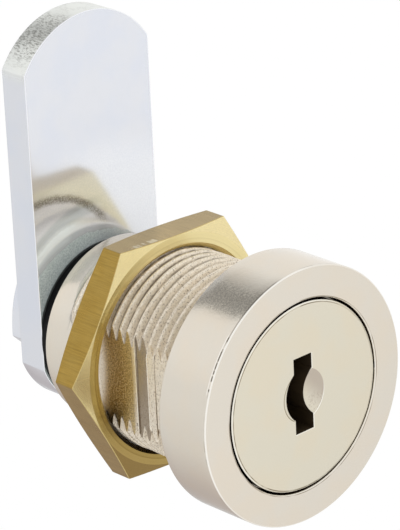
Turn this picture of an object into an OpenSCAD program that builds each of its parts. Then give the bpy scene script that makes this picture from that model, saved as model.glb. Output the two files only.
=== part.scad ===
// Cam lock: a threaded cylinder lock with a hex nut and a flat cam.
// The lock's axis is Y, the key enters from -Y, and the cam points up, to +Z.
// The origin is on the axis, in the rear face of the head, which seats on the panel.

/* [Head] */
// Diameter of the round head
head_d = 24; // [23:0.5:30]
// Depth of the head in front of the panel
head_depth = 5.8; // [4.5:0.1:9]
// Diameter of the recess that holds the plug's face
recess_d = 18; // [16:0.1:19]
// Depth of the plug's face flange
flange_depth = 1.9; // [1.2:0.1:3]
// Radial gap round the plug's face
face_gap = 0.2; // [0.05:0.05:0.3]
// Chamfer on the head's rim and on the barrel's rear end
edge_chamfer = 0.12; // [0.05:0.01:0.25]
// Chamfer on the recess and on the plug's face
face_chamfer = 0.07; // [0.03:0.01:0.15]

/* [Barrel] */
// Outer diameter of the thread
thread_d = 19; // [18:0.5:20]
// Pitch of the thread
thread_pitch = 1; // [0.8:0.05:1.5]
// Depth of the thread
thread_depth = 0.6; // [0.4:0.05:0.7]
// Length of the barrel behind the panel face
barrel_length = 18.6; // [18:0.1:30]
// Shortest length of the plain neck between the head and the thread
neck_length = 2; // [2:0.1:3]
// Diameter of the plain neck
neck_d = 17.8; // [17.2:0.1:18.6]
// Width of the thread's last crest, which stands round the spigot's front end
last_crest_width = 0.5; // [0.1:0.05:0.8]
// Length of the plain spigot at the rear, from the end of the flats
spigot_length = 3.7; // [2.5:0.1:5]
// Diameter of the plain spigot at the rear
spigot_d = 17.5; // [17:0.1:18]
// Width across the two flats that key the barrel in its panel
flat_width = 16.2; // [15.8:0.1:17]
// Width across the shallower stretch of the flats next to the head
front_flat_width = 16.5; // [16.3:0.1:17.6]
// Distance from the panel face at which the full flats start
full_flat_start = 7; // [4:0.1:8]
// Depth of the thread marks that cross the shallower stretch
mark_depth = 0.12; // [0.05:0.01:0.2]
// Width of the ridge next to the full flats, and of the narrow mark
ridge_width = 0.1; // [0.05:0.01:0.2]

/* [Hex nut] */
// Width of the nut across its flats
nut_width = 22; // [21:0.5:27]
// Thickness of the nut
nut_thickness = 3.1; // [2:0.1:5]
// Where the nut's front face stands behind the panel face
nut_place = 10.1; // [4:0.1:12]
// Drop of the chamfer at the nut's corners, front and rear
nut_chamfer = 0.42; // [0.2:0.02:0.8]
// Width of the countersink at each end of the nut's bore
nut_countersink = 0.7; // [0.1:0.05:0.75]
// How far the nut is turned, from one corner straight up
nut_turn = 31.3; // [0:0.1:60]

/* [Cam] */
// Width of the cam
cam_width = 14.9; // [13:0.1:20]
// Thickness of the cam
cam_thickness = 3.1; // [2:0.1:4]
// Reach of the cam from the lock's axis to its tip
cam_reach = 30; // [20:0.5:60]
// Radius of the cam's tip
cam_tip_radius = 8.75; // [8:0.05:15]
// Distance from the lock's axis to the cam's tail end
cam_tail = 8; // [7.5:0.1:12]
// Radius of the cam's tail end
cam_tail_radius = 7.9; // [7.6:0.05:12]

/* [Plug] */
// Diameter of the plug's body
plug_d = 12.6; // [12.4:0.1:13]
// Depth of the wall between the face flange and the first wafer
front_wall = 0.9; // [0.6:0.1:1.5]
// Thickness of the wall at each end of the tapped hole
tap_wall = 0.6; // [0.4:0.1:1]
// Width across the square that drives the cam
square_width = 8; // [7.8:0.1:8.6]
// Diameter over the rounded corners of the square
square_corner_d = 10.6; // [10:0.1:11.4]
// Diameter of the dimple in the plug's face
dimple_d = 4.9; // [3:0.1:7]
// Depth of the dimple
dimple_depth = 0.55; // [0.2:0.05:0.8]

/* [Keyway] */
// Width of the keyway
key_width = 2.2; // [1.6:0.1:2.6]
// Height of the keyway
key_height = 7.2; // [6:0.1:8]
// How far the middle of the keyway bows sideways
key_bow = 1.05; // [0.5:0.05:1.2]
// Height of the bowed stretch
key_bow_height = 4.4; // [3.6:0.1:5.5]
// How far the middle of the keyway and of the dimple lies above the lock's axis
key_rise = 0.25; // [-0.3:0.05:0.3]

/* [Wafers] */
// Thickness of a wafer
wafer_thickness = 1; // [0.8:0.05:1.1]
// Width of a wafer
wafer_width = 6.4; // [6.2:0.1:6.6]
// Width of the window in a wafer
window_width = 4.7; // [4.6:0.1:5]
// Height of the window in a wafer
window_height = 6.4; // [5.6:0.1:7]
// How far a wafer comes out of the plug without the key
wafer_travel = 0.6; // [0.3:0.05:0.65]
// Step between two cuts of the key
code_step = 0.15; // [0.05:0.05:0.2]
// Height of the side lug that the spring pushes on
lug_height = 0.9; // [0.6:0.1:1.2]
// Height of the lug's underside above the lock's axis
lug_place = 0.5; // [0.2:0.1:1]

/* [Wafer springs] */
// Outer diameter of a spring
spring_d = 1.3; // [1:0.05:1.35]
// Thickness of a spring's wire
spring_wire = 0.22; // [0.15:0.01:0.28]
// Diameter of the pocket that holds a spring
pocket_d = 1.5; // [1.4:0.05:1.6]
// Distance from the lock's axis to the spring's axis
pocket_offset = 4.4; // [4.3:0.05:4.5]
// Depth of the pocket below the lock's axis
pocket_depth = 2.6; // [2.2:0.1:2.8]
// Turns in a spring
spring_turns = 4.5; // [3:0.5:6]

/* [Stops] */
// Thickness of the stop washer behind the barrel
stop_thickness = 1.8; // [1.2:0.1:3]
// Diameter of the stop washer
stop_d = 15; // [14:0.1:15.4]
// Reach of the stop washer's tab from the lock's axis
tab_reach = 8.4; // [8:0.1:8.7]
// Width of the tab, as an angle
tab_angle = 30; // [20:1:60]
// Direction of the tab's middle from straight up, towards +X
tab_direction = 75.5; // [40:0.5:120]
// Width of each stop lug on the barrel, as an angle
lug_angle = 20; // [15:1:40]
// How far the plug turns between its stops
turn_range = 90; // [90:1:100]

/* [Cam screw] */
// Diameter of the screw's shank
screw_d = 5.9; // [5:0.1:6.2]
// Length of the screw's shank
screw_length = 10; // [7:0.5:10.5]
// Width of the screw's head across its flats
screw_head_width = 10; // [8:0.5:12]
// Height of the screw's head
screw_head_height = 4; // [2.5:0.1:5]
// Drop of the chamfer at the corners of the screw's head
screw_head_chamfer = 0.45; // [0.2:0.05:0.6]
// How far the screw's head is turned, from one corner straight up
screw_turn = 12.7; // [0:0.1:60]

/* [Clearances] */
// Radial play of the plug in the barrel, and of the nut on the thread
running_gap = 0.05; // [0.02:0.01:0.1]
// Play of a wafer in its slot, of the square in the cam, and of the plug along the axis
slide_gap = 0.05; // [0.02:0.01:0.1]
// Space between a wafer that is out and the bottom of its groove
groove_gap = 0.15; // [0.1:0.05:0.2]
// Play of the plug along the axis behind the barrel
end_play = 0.1; // [0.05:0.05:0.3]

/* [Hidden] */

// Cuts of the key, one for each wafer, in steps
key_code = [0, 2, 1, 3, 1, 0, 2, 1];
wafer_count = len(key_code);

// Small fixed clearances and insets
square_short = 0.2;
wafer_inset = 0.03;
stop_clear = 0.5;
stop_gap = 0.2;
stop_lug_inset = 0.1;
stop_lug_short = 0.4;
side_lug_inset = 0.15;
side_lug_gap = 0.15;
pocket_overlap = 0.1;
nut_ring_inset = 0.06;
screw_ring_inset = 0.1;

// Places along the axis, from the key side to the rear
face_y = -head_depth;
flange_rear_y = face_y + flange_depth;
flat_end_y = barrel_length - spigot_length;
thread_end_y = flat_end_y + last_crest_width;
shoulder_y = barrel_length + end_play;
cam_front_y = shoulder_y + stop_thickness;
cam_rear_y = cam_front_y + cam_thickness;
tail_end_y = cam_rear_y - square_short;
tap_end_y = cam_rear_y - screw_length - tap_wall;
keyway_end_y = tap_end_y - tap_wall;
wafer_start_y = flange_rear_y + front_wall;
wafer_pitch = (keyway_end_y - wafer_start_y) / wafer_count;

// Radii
head_r = head_d / 2;
recess_r = recess_d / 2;
flange_r = recess_r - face_gap;
thread_r = thread_d / 2;
root_r = thread_r - thread_depth;
plug_r = plug_d / 2;
bore_r = plug_r + running_gap;
wafer_r = plug_r - wafer_inset;
groove_reach = wafer_r + wafer_travel + groove_gap;
groove_half_width = wafer_width / 2 + groove_gap;
screw_r = screw_d / 2;
tap_r = screw_r + slide_gap;
pocket_r = pocket_d / 2;
nut_bore_r = thread_r + running_gap;

// One pitch of the thread is a crest, a flank, a root and a flank
crest_width = thread_pitch / 8;
root_width = thread_pitch / 4;
flank_width = (thread_pitch - crest_width - root_width) / 2;
turns = floor((flat_end_y - neck_length) / thread_pitch);
thread_start_y = flat_end_y - turns * thread_pitch;

// The radius of the arcs that bow the keyway
bow_r = (pow(key_bow_height / 2, 2) + pow(key_bow, 2)) / (2 * key_bow);
// The bowed cut stops this much short of the corners, so that its edges cross those of the straight cut
bow_trim = 0.02;
dimple_r = (pow(dimple_d / 2, 2) + pow(dimple_depth, 2)) / (2 * dimple_depth);

// The stop lugs stand round the washer, short of the cam, and the angle stop_clear away from the tab
lug_outer_r = spigot_d / 2 - stop_lug_inset;
lug_inner_r = stop_d / 2 + stop_gap;
stop_lug_height = stop_thickness - stop_lug_short;
first_lug_angle = tab_direction - tab_angle / 2 - stop_clear - lug_angle / 2;
second_lug_angle = tab_direction + turn_range + tab_angle / 2 + stop_clear + lug_angle / 2;

// The wafer's side lug ends short of the far side of the spring's pocket
side_lug_end = pocket_offset + pocket_r - side_lug_inset;
pocket_top = lug_place - pocket_overlap;
spring_r = (spring_d - spring_wire) / 2;

// Enough to cut clean through
through = 1;
// Enough for two parts of one solid to run into each other
overlap = 0.5;
// Enough for a turned outline to pass round the corners of a hexagon
corner_margin = 0.1;
reach = head_d + cam_reach;
$fn = 96;

nickel = [0.83, 0.81, 0.75];
plug_nickel = [0.84, 0.82, 0.74];
brass = [0.72, 0.60, 0.30];
zinc = [0.87, 0.88, 0.91];
steel = [0.80, 0.81, 0.83];
black_oxide = [0.06, 0.06, 0.07];
wafer_brass = [0.78, 0.66, 0.36];

// A bar along the lock's axis
module y_bar(r, from, to) {
    translate([0, from, 0]) rotate([-90, 0, 0]) cylinder(r = r, h = to - from);
}

// A turned piece, from its outline of [radius, place along the axis]
module turned(outline) {
    rotate([-90, 0, 0]) rotate_extrude() polygon(outline);
}

// A box centred on the lock's axis in X and Z
module y_box(width, height, from, to) {
    translate([-width / 2, from, -height / 2]) cube([width, to - from, height]);
}

// A hexagonal bar along the lock's axis, turned from one corner straight up
module hex_bar(width, turn, from, to) {
    translate([0, from, 0]) rotate([0, turn, 0]) rotate([-90, 0, 0]) rotate([0, 0, 90])
        cylinder(r = width / sqrt(3), h = to - from, $fn = 6);
}

// A wedge from the lock's axis, in a direction measured from straight up towards +X
module wedge(direction, angle, from, to) {
    half = angle / 2;
    translate([0, to, 0]) rotate([90, 0, 0]) linear_extrude(to - from)
        polygon([
            [0, 0],
            [reach * sin(direction - half), reach * cos(direction - half)],
            [reach * sin(direction + half), reach * cos(direction + half)]
        ]);
}

// Outline of the ring grooves that stand for the thread, from the first crest to the last
function thread_outline() = concat(
    [for (k = [0 : turns - 1], p = [
        [thread_r, 0],
        [thread_r, crest_width],
        [root_r, crest_width + flank_width],
        [root_r, crest_width + flank_width + root_width]
    ]) [p[0], thread_start_y + k * thread_pitch + p[1]]],
    [[thread_r, flat_end_y], [thread_r, thread_end_y]]
);

module housing_outside() {
    turned(concat(
        [
            [0, face_y],
            [head_r - edge_chamfer, face_y],
            [head_r, face_y + edge_chamfer],
            [head_r, -edge_chamfer],
            [head_r - edge_chamfer, 0],
            [neck_d / 2, 0],
            [neck_d / 2, thread_start_y]
        ],
        thread_outline(),
        [[0, thread_end_y]]
    ));
}

// Cuts away what lies further out than a flat of the given width, on both sides
module flat_cut(width, from, to) {
    for (side = [0, 180]) rotate([0, side, 0])
        translate([width / 2, from, -reach / 2]) cube([reach, to - from, reach]);
}

// The stepped flats: shallow next to the head, with a broad and a narrow mark, and full depth behind
module barrel_flats() {
    mark_width = front_flat_width - 2 * mark_depth;
    narrow_mark_y = full_flat_start - 2 * thread_pitch;
    flat_cut(front_flat_width, 0, full_flat_start + overlap);
    flat_cut(flat_width, full_flat_start, thread_end_y);
    flat_cut(mark_width, full_flat_start - thread_pitch, full_flat_start - ridge_width);
    flat_cut(mark_width, narrow_mark_y - ridge_width, narrow_mark_y);
}

// The plain round rear end, which the flats don't reach
module spigot() {
    turned([
        [0, flat_end_y],
        [spigot_d / 2, flat_end_y],
        [spigot_d / 2, barrel_length - edge_chamfer],
        [spigot_d / 2 - edge_chamfer, barrel_length],
        [0, barrel_length]
    ]);
}

module stop_lug(direction) {
    intersection() {
        difference() {
            y_bar(lug_outer_r, barrel_length - overlap, barrel_length + stop_lug_height);
            y_bar(lug_inner_r, barrel_length - through, barrel_length + stop_lug_height + through);
        }
        wedge(direction, lug_angle, barrel_length - overlap, barrel_length + stop_lug_height);
    }
}

// Die-cast body: head, threaded barrel, recess for the plug's face and grooves for the wafers
module housing() {
    color(nickel) difference() {
        union() {
            difference() {
                housing_outside();
                barrel_flats();
            }
            spigot();
            stop_lug(first_lug_angle);
            stop_lug(second_lug_angle);
        }
        turned([
            [0, face_y - through],
            [recess_r + face_chamfer + through, face_y - through],
            [recess_r, face_y + face_chamfer],
            [recess_r, flange_rear_y + slide_gap],
            [0, flange_rear_y + slide_gap]
        ]);
        y_bar(bore_r, flange_rear_y, barrel_length + through);
        y_box(2 * groove_half_width, 2 * groove_reach, wafer_start_y, barrel_length + through);
        y_box(2 * groove_reach, 2 * groove_half_width, wafer_start_y, barrel_length + through);
    }
}

// The keyway's section: straight ends and a middle that bows to -X in two equal arcs
module keyway() {
    bow_centre = -key_width / 2 - key_bow + bow_r;
    translate([0, 0, key_rise]) difference() {
        union() {
            y_box(key_width, key_height, face_y - through, keyway_end_y);
            intersection() {
                translate([bow_centre, 0, 0]) y_bar(bow_r, face_y - through, keyway_end_y);
                y_box(2 * reach, key_bow_height - bow_trim, face_y - 2 * through, keyway_end_y + through);
            }
        }
        translate([bow_centre + key_width, 0, 0])
            y_bar(bow_r, face_y - 2 * through, keyway_end_y + through);
    }
}

// Places a wafer, its slot or its spring: the odd ones rise, the even ones are turned half round
module at_wafer(index) {
    translate([0, wafer_start_y + (index + 0.5) * wafer_pitch, 0])
        rotate([0, index % 2 == 0 ? 0 : 180, 0]) children();
}

module wafer_slot() {
    half_slot = wafer_thickness / 2 + slide_gap;
    half_width = wafer_width / 2 + slide_gap;
    y_box(2 * half_width, 2 * (plug_r + through), -half_slot, half_slot);
    translate([0, -half_slot, pocket_top])
        cube([side_lug_end + side_lug_gap, 2 * half_slot, plug_r]);
    translate([pocket_offset, 0, -pocket_depth]) cylinder(r = pocket_r, h = pocket_depth + lug_place);
}

// The turning plug: face flange, body with the wafer slots, and the square that carries the cam
module plug() {
    color(plug_nickel) difference() {
        union() {
            turned([
                [0, face_y],
                [flange_r - face_chamfer, face_y],
                [flange_r, face_y + face_chamfer],
                [flange_r, flange_rear_y],
                [plug_r, flange_rear_y],
                [plug_r, shoulder_y],
                [0, shoulder_y]
            ]);
            intersection() {
                y_box(square_width, square_width, shoulder_y - overlap, tail_end_y);
                y_bar(square_corner_d / 2, shoulder_y - overlap, tail_end_y);
            }
        }
        keyway();
        translate([0, face_y - dimple_r + dimple_depth, key_rise])
            rotate([90, 0, 0]) sphere(r = dimple_r);
        for (index = [0 : wafer_count - 1]) at_wafer(index) wafer_slot();
        y_bar(tap_r, tap_end_y, tail_end_y + through);
    }
}

// A stamped brass wafer, flush with the plug as the key holds it, with its coded window
module wafer(index) {
    window_rise = (index % 2 == 0 ? key_rise : -key_rise) + (key_code[index] - 1) * code_step;
    color(wafer_brass) at_wafer(index) difference() {
        intersection() {
            union() {
                y_box(wafer_width, 2 * plug_d, -wafer_thickness / 2, wafer_thickness / 2);
                translate([0, -wafer_thickness / 2, lug_place])
                    cube([side_lug_end, wafer_thickness, lug_height]);
            }
            y_bar(wafer_r, -through, through);
        }
        translate([0, 0, window_rise])
            y_box(window_width, window_height, -through, through);
    }
}

// Points of a ring of the spring's wire, at an angle along the coil
spring_sides = 5;
spring_steps = 8;
spring_foot = -pocket_depth + slide_gap;
spring_length = lug_place - slide_gap - spring_foot;

function spring_ring(step) =
    let (
        a = 360 * step / spring_steps,
        rise = (spring_length - spring_wire) * step / (spring_turns * spring_steps)
    )
    [for (s = [0 : spring_sides - 1])
        let (
            b = 360 * s / spring_sides,
            r = spring_r + spring_wire / 2 * cos(b)
        )
        [r * cos(a), r * sin(a), spring_foot + spring_wire / 2 + rise + spring_wire / 2 * sin(b)]
    ];

// A coil spring that lifts a wafer by its side lug
module wafer_spring(index) {
    rings = floor(spring_turns * spring_steps);
    points = [for (step = [0 : rings]) each spring_ring(step)];
    walls = [for (step = [0 : rings - 1], s = [0 : spring_sides - 1])
        let (
            next = (s + 1) % spring_sides,
            low = step * spring_sides,
            high = low + spring_sides
        )
        [low + s, high + s, high + next, low + next]
    ];
    first_end = [for (s = [0 : spring_sides - 1]) s];
    last_end = [for (s = [spring_sides - 1 : -1 : 0]) rings * spring_sides + s];
    color(steel) at_wafer(index) translate([pocket_offset, 0, 0])
        polyhedron(points, concat([first_end, last_end], walls));
}

module hex_nut() {
    corner_r = nut_width / sqrt(3);
    ring_r = nut_width / 2 - nut_ring_inset;
    rear_y = nut_place + nut_thickness;
    color(brass) difference() {
        intersection() {
            hex_bar(nut_width, nut_turn, nut_place, rear_y);
            turned([
                [0, nut_place],
                [ring_r, nut_place],
                [corner_r + corner_margin, nut_place + nut_chamfer],
                [corner_r + corner_margin, rear_y - nut_chamfer],
                [ring_r, rear_y],
                [0, rear_y]
            ]);
        }
        turned([
            [0, nut_place - through],
            [nut_bore_r + nut_countersink + through, nut_place - through],
            [nut_bore_r, nut_place + nut_countersink],
            [nut_bore_r, rear_y - nut_countersink],
            [nut_bore_r + nut_countersink + through, rear_y + through],
            [0, rear_y + through]
        ]);
    }
}

module cam() {
    tip_centre = cam_reach - cam_tip_radius;
    tail_centre = cam_tail_radius - cam_tail;
    wide = 2 * max(cam_tip_radius, cam_tail_radius, cam_width);
    color(zinc) difference() {
        intersection() {
            translate([-cam_width / 2, cam_front_y, -cam_tail])
                cube([cam_width, cam_thickness, cam_tail + cam_reach]);
            union() {
                translate([0, 0, tip_centre])
                    y_bar(cam_tip_radius, cam_front_y - through, cam_rear_y + through);
                translate([0, 0, tail_centre])
                    y_bar(cam_tail_radius, cam_front_y - through, cam_rear_y + through);
                translate([-wide / 2, cam_front_y - through, tail_centre])
                    cube([wide, cam_thickness + 2 * through, tip_centre - tail_centre]);
            }
        }
        intersection() {
            y_box(
                square_width + 2 * slide_gap, square_width + 2 * slide_gap,
                cam_front_y - through, cam_rear_y + through
            );
            y_bar(square_corner_d / 2 + slide_gap, cam_front_y - 2 * through, cam_rear_y + 2 * through);
        }
    }
}

module stop_washer() {
    washer_front = shoulder_y;
    color(black_oxide) difference() {
        union() {
            y_bar(stop_d / 2, washer_front, cam_front_y);
            intersection() {
                y_bar(tab_reach, washer_front, cam_front_y);
                wedge(tab_direction, tab_angle, washer_front, cam_front_y);
            }
        }
        intersection() {
            y_box(
                square_width + 2 * slide_gap, square_width + 2 * slide_gap,
                washer_front - through, cam_front_y + through
            );
            y_bar(square_corner_d / 2 + slide_gap, washer_front - 2 * through, cam_front_y + 2 * through);
        }
    }
}

module cam_screw() {
    head_rear_y = cam_rear_y + screw_head_height;
    corner_r = screw_head_width / sqrt(3);
    color(steel) union() {
        y_bar(screw_r, cam_rear_y - screw_length, cam_rear_y + overlap);
        intersection() {
            hex_bar(screw_head_width, screw_turn, cam_rear_y, head_rear_y);
            turned([
                [0, cam_rear_y],
                [corner_r + corner_margin, cam_rear_y],
                [corner_r + corner_margin, head_rear_y - screw_head_chamfer],
                [screw_head_width / 2 - screw_ring_inset, head_rear_y],
                [0, head_rear_y]
            ]);
        }
    }
}

housing();
plug();
hex_nut();
cam();
cam_screw();
stop_washer();
wafer(0);  // wafer_1
wafer(1);  // wafer_2
wafer(2);  // wafer_3
wafer(3);  // wafer_4
wafer(4);  // wafer_5
wafer(5);  // wafer_6
wafer(6);  // wafer_7
wafer(7);  // wafer_8
wafer_spring(0);  // wafer_spring_1
wafer_spring(1);  // wafer_spring_2
wafer_spring(2);  // wafer_spring_3
wafer_spring(3);  // wafer_spring_4
wafer_spring(4);  // wafer_spring_5
wafer_spring(5);  // wafer_spring_6
wafer_spring(6);  // wafer_spring_7
wafer_spring(7);  // wafer_spring_8
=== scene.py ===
"""Cam lock: its finishes, its helical thread and rounded edges, and a plain studio.

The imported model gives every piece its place. Lengths are in metres, the lock's axis is Y, the key enters
from -Y and the cam points up. Angles round the axis are measured from straight up, towards +X.
"""

import math
from functools import cached_property

import bmesh
import bpy
import numpy as np
from mathutils import Matrix, Vector


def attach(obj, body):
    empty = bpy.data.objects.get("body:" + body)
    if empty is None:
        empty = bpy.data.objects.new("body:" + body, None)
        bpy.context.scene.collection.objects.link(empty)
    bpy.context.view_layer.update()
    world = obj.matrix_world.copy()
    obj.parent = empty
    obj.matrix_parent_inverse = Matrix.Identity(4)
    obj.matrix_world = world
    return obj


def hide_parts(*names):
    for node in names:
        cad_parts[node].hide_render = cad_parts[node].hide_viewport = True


bl_info = {
    "name": "Cam Lock",
    "version": (1, 0, 0),
    "blender": (4, 5, 0),
    "location": "3D View > Sidebar > Cam Lock",
    "description": "Builds the visible pieces, the finishes and the studio of a cam lock",
    "category": "Object",
}

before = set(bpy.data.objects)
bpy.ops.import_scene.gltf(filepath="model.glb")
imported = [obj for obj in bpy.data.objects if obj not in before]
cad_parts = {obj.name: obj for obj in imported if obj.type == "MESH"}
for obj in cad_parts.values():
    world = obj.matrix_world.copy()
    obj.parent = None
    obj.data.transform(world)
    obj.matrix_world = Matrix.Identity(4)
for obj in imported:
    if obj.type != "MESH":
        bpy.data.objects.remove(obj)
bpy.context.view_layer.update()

MM = 0.001
# Height of the picture in pixels
PHOTO_LONG_SIDE = 530
# The plate's fine grain and its clouds
PLATE_GRAIN = 0.10 * MM
PLATE_CLOUD = 3.5 * MM
# Points closer than this are one point
MERGE_DISTANCE = 1e-7
# A face whose normal comes this close to an axis is plane
SQUARE_ON = 0.9998
# How far the crests stay under the thread's nominal radius
CREST_EASE = 0.015 * MM
# Rounding of a hexagon's corners
HEXAGON_CORNER = 0.1 * MM
# Degrees beside a corner at which a turned shape gets more points
BESIDE_CORNERS = (-0.6, -0.45, -0.3, -0.2, -0.1, 0, 0.1, 0.2, 0.3, 0.45, 0.6)
# Places within one pitch at which the thread gets a ring
THREAD_ROWS = (0.0, 0.035, 0.07, 0.16, 0.24, 0.32, 0.4, 0.46, 0.54, 0.60, 0.68, 0.76, 0.84, 0.93, 0.965)
WAFERS = sorted(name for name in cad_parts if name.startswith("wafer_") and "spring" not in name)
SPRINGS = sorted(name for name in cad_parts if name.startswith("wafer_spring_"))


def length(name, description, millimetres):
    """A length that the sidebar shows, with its default in millimetres."""
    return bpy.props.FloatProperty(
        name=name,
        description=description,
        default=millimetres * MM,
        min=0,
        unit="LENGTH",
        subtype="DISTANCE",
        precision=5,
    )


def place(name, description, millimetres):
    """A place along a direction, which may be on either side of the lock's origin."""
    return bpy.props.FloatProperty(
        name=name,
        description=description,
        default=millimetres * MM,
        unit="LENGTH",
        subtype="DISTANCE",
        precision=5,
    )


def angle(name, description, degrees):
    """An angle, with its default in degrees."""
    return bpy.props.FloatProperty(
        name=name, description=description, default=math.radians(degrees), subtype="ANGLE"
    )


def share(name, description, default):
    """A number from 0 to 1."""
    return bpy.props.FloatProperty(
        name=name, description=description, default=default, min=0, max=1, subtype="FACTOR"
    )


def colour(name, description, default):
    """A base colour as a screen shows it."""
    return bpy.props.FloatVectorProperty(
        name=name, description=description, default=default, size=3, min=0, max=1, subtype="COLOR_GAMMA"
    )


def linear(shown):
    """The shader's values of a colour that is given as a screen shows it."""
    return tuple(c / 12.92 if c <= 0.04045 else ((c + 0.055) / 1.055) ** 2.4 for c in shown)


class HeadSizes(bpy.types.PropertyGroup):
    """The round head of the housing and the recess for the plug's face"""

    radius: length("Radius", "Radius of the round head", 12)
    face: place("Face", "Place of the head's front face", -5.8)
    rim: length("Rim", "Width of the rounding on the head's rims", 0.12)
    recess_radius: length("Recess radius", "Radius of the recess that holds the plug's face", 9)
    recess_floor: place("Recess floor", "Place of the recess's floor", -3.85)
    recess_edge: length("Recess edge", "Chamfer at the recess's mouth", 0.09)


class BarrelSizes(bpy.types.PropertyGroup):
    """The threaded barrel of the housing"""

    thread_radius: length("Thread radius", "Radius over the crests of the thread", 9.5)
    depth: length("Thread depth", "Depth of the thread", 0.6)
    pitch: length("Pitch", "Pitch of the thread", 1)
    crest: length("Crest width", "Width of the thread's crest", 0.14)
    root: length("Root width", "Width of the thread's root", 0.2)
    lead: place("Lead", "Place of a crest straight above the axis", 2.11)
    start: place("Thread start", "Where the thread starts behind the neck", 2.3)
    neck_radius: length("Neck radius", "Radius of the plain neck behind the head", 8.9)
    flat_end: place("End of the flats", "Where the flats end, in front of the plain spigot", 14.9)
    last_crest: length("Last crest", "Width of the thread's last crest", 0.5)
    spigot_radius: length("Spigot radius", "Radius of the plain spigot at the rear", 8.75)
    rear: place("Rear", "Place of the barrel's rear face", 18.6)
    rear_edge: length("Rear edge", "Rounding of the spigot's rear edge", 0.12)
    flat: length("Flat", "Distance from the axis to a full flat", 8.1)
    front_flat: length("Front flat", "Distance from the axis to the shallower stretch of a flat", 8.25)
    full_flat: place("Full flat start", "Where the full flats start behind the head", 7)
    mark: length("Mark depth", "Depth of the thread marks in the shallower stretch", 0.12)
    ridge: length("Ridge width", "Width of the ridge and of the narrow mark", 0.1)
    broad_mark: place("Broad mark", "Where the broad thread mark starts, in front of the ridge", 5.5)
    narrow_mark: place("Narrow mark", "Where the narrow thread mark starts", 4.4)
    bore_radius: length("Bore radius", "Radius of the bore that the plug turns in", 6.35)
    groove_half: length("Groove half width", "Half the width of a wafer groove in the bore", 3.35)
    groove_reach: length("Groove reach", "Distance from the axis to the bottom of a wafer groove", 7.02)
    groove_start: place("Groove start", "Where the wafer grooves start", -3)


class PlugSizes(bpy.types.PropertyGroup):
    """The turning plug"""

    face: place("Face", "Place of the plug's front face", -5.8)
    flange_radius: length("Flange radius", "Radius of the round face", 8.8)
    flange_rear: place("Flange rear", "Place of the flange's rear side", -3.9)
    edge: length("Edge", "Chamfer round the face", 0.09)
    radius: length("Radius", "Radius of the plug's body", 6.3)
    shoulder: place("Shoulder", "Place of the shoulder in front of the square", 18.7)
    tail: place("Tail", "Place of the square's end", 23.4)
    square: length("Square", "Width across the square", 8)
    square_corner: length("Square corner", "Radius over the square's rounded corners", 5.3)
    hole_radius: length("Hole radius", "Radius of the tapped hole for the cam's screw", 3)
    hole_end: place("Hole end", "Place of the tapped hole's bottom", 13)
    slot_start: place("Slot start", "Where the first wafer's slot stands", -3)
    slot_end: place("Slot end", "Where the last wafer's slot ends", 12.4)
    slot_width: length("Slot width", "Width of a wafer's slot", 6.5)
    slot_thickness: length("Slot thickness", "Thickness of a wafer's slot", 1.1)
    washer_radius: length("Washer radius", "Radius of the stop washer on the square", 7.5)
    pocket_radius: length("Pocket radius", "Radius of the pocket for a spring", 0.75)
    pocket_offset: length("Pocket offset", "Distance from the axis to a spring's pocket", 4.4)
    pocket_depth: length("Pocket depth", "Depth of a spring's pocket", 2.6)


class KeywaySizes(bpy.types.PropertyGroup):
    """The bowed keyway and the dimple round it"""

    width: length("Width", "Width of the keyway", 2.2)
    height: length("Height", "Height of the keyway", 7.2)
    bow: length("Bow", "How far the keyway's middle bows sideways", 1.05)
    bow_height: length("Bow height", "Height of the bowed stretch", 4.4)
    rise: length("Rise", "Height of the keyway's middle above the axis", 0.25)
    end: place("End", "Where the keyway ends", 12.4)
    mouth: length("Mouth", "Chamfer round the keyway's mouth", 0.06)
    dimple_radius: length("Dimple radius", "Radius of the dimple", 2.45)
    dimple_depth: length("Dimple depth", "Depth of the dimple", 0.16)
    dimple_rise: length("Dimple rise", "Height of the dimple's middle above the axis", 0.16)
    dimple_lip: length("Dimple lip", "Width of the eased lip round the dimple", 0.07)


class NutSizes(bpy.types.PropertyGroup):
    """The hex nut"""

    width: length("Width", "Width across the flats", 22)
    front: place("Front", "Place of the front face", 10.1)
    thickness: length("Thickness", "Thickness of the nut", 3.1)
    chamfer: length("Chamfer", "Drop of the chamfer at the corners", 0.42)
    ring_inset: length("Ring inset", "How far the flat ring stays inside the hexagon", 0.06)
    bore_radius: length("Bore radius", "Radius of the bore", 9.55)
    countersink: length("Countersink", "Width of the countersink", 0.4)
    step_radius: length("Step radius", "Radius of the faint step that the turning tool left", 10.35)
    turn: angle("Turn", "How far a corner is turned from straight up", 31.3)
    edge: length("Edge", "Width of the broken edges", 0.045)


class CamSizes(bpy.types.PropertyGroup):
    """The flat cam"""

    width: length("Width", "Width of the cam", 14.9)
    front: place("Front", "Place of the front face", 20.5)
    thickness: length("Thickness", "Thickness of the cam", 3.1)
    reach: length("Reach", "Reach from the axis to the tip", 30)
    tip_radius: length("Tip radius", "Radius of the tip", 8.75)
    tail: length("Tail", "Reach from the axis to the tail end", 8)
    tail_radius: length("Tail radius", "Radius of the tail end", 7.9)
    hole: length("Hole", "Width across the square hole", 8.1)
    hole_corner: length("Hole corner", "Radius over the hole's rounded corners", 5.35)
    edge: length("Edge", "Rounding of the edges", 0.07)


class ScrewSizes(bpy.types.PropertyGroup):
    """The screw that holds the cam"""

    radius: length("Radius", "Radius of the shank", 2.95)
    tip: place("Tip", "Place of the shank's end", 13.6)
    head_width: length("Head width", "Width of the head across its flats", 10)
    head_front: place("Head front", "Place of the head's underside", 23.6)
    head_height: length("Head height", "Height of the head", 4)
    chamfer: length("Chamfer", "Drop of the chamfer at the head's corners", 0.45)
    ring_inset: length("Ring inset", "How far the head's round face stays inside its hexagon", 0.1)
    turn: angle("Turn", "How far a corner is turned from straight up", 12.7)
    edge: length("Edge", "Width of the broken edges", 0.07)


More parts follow.
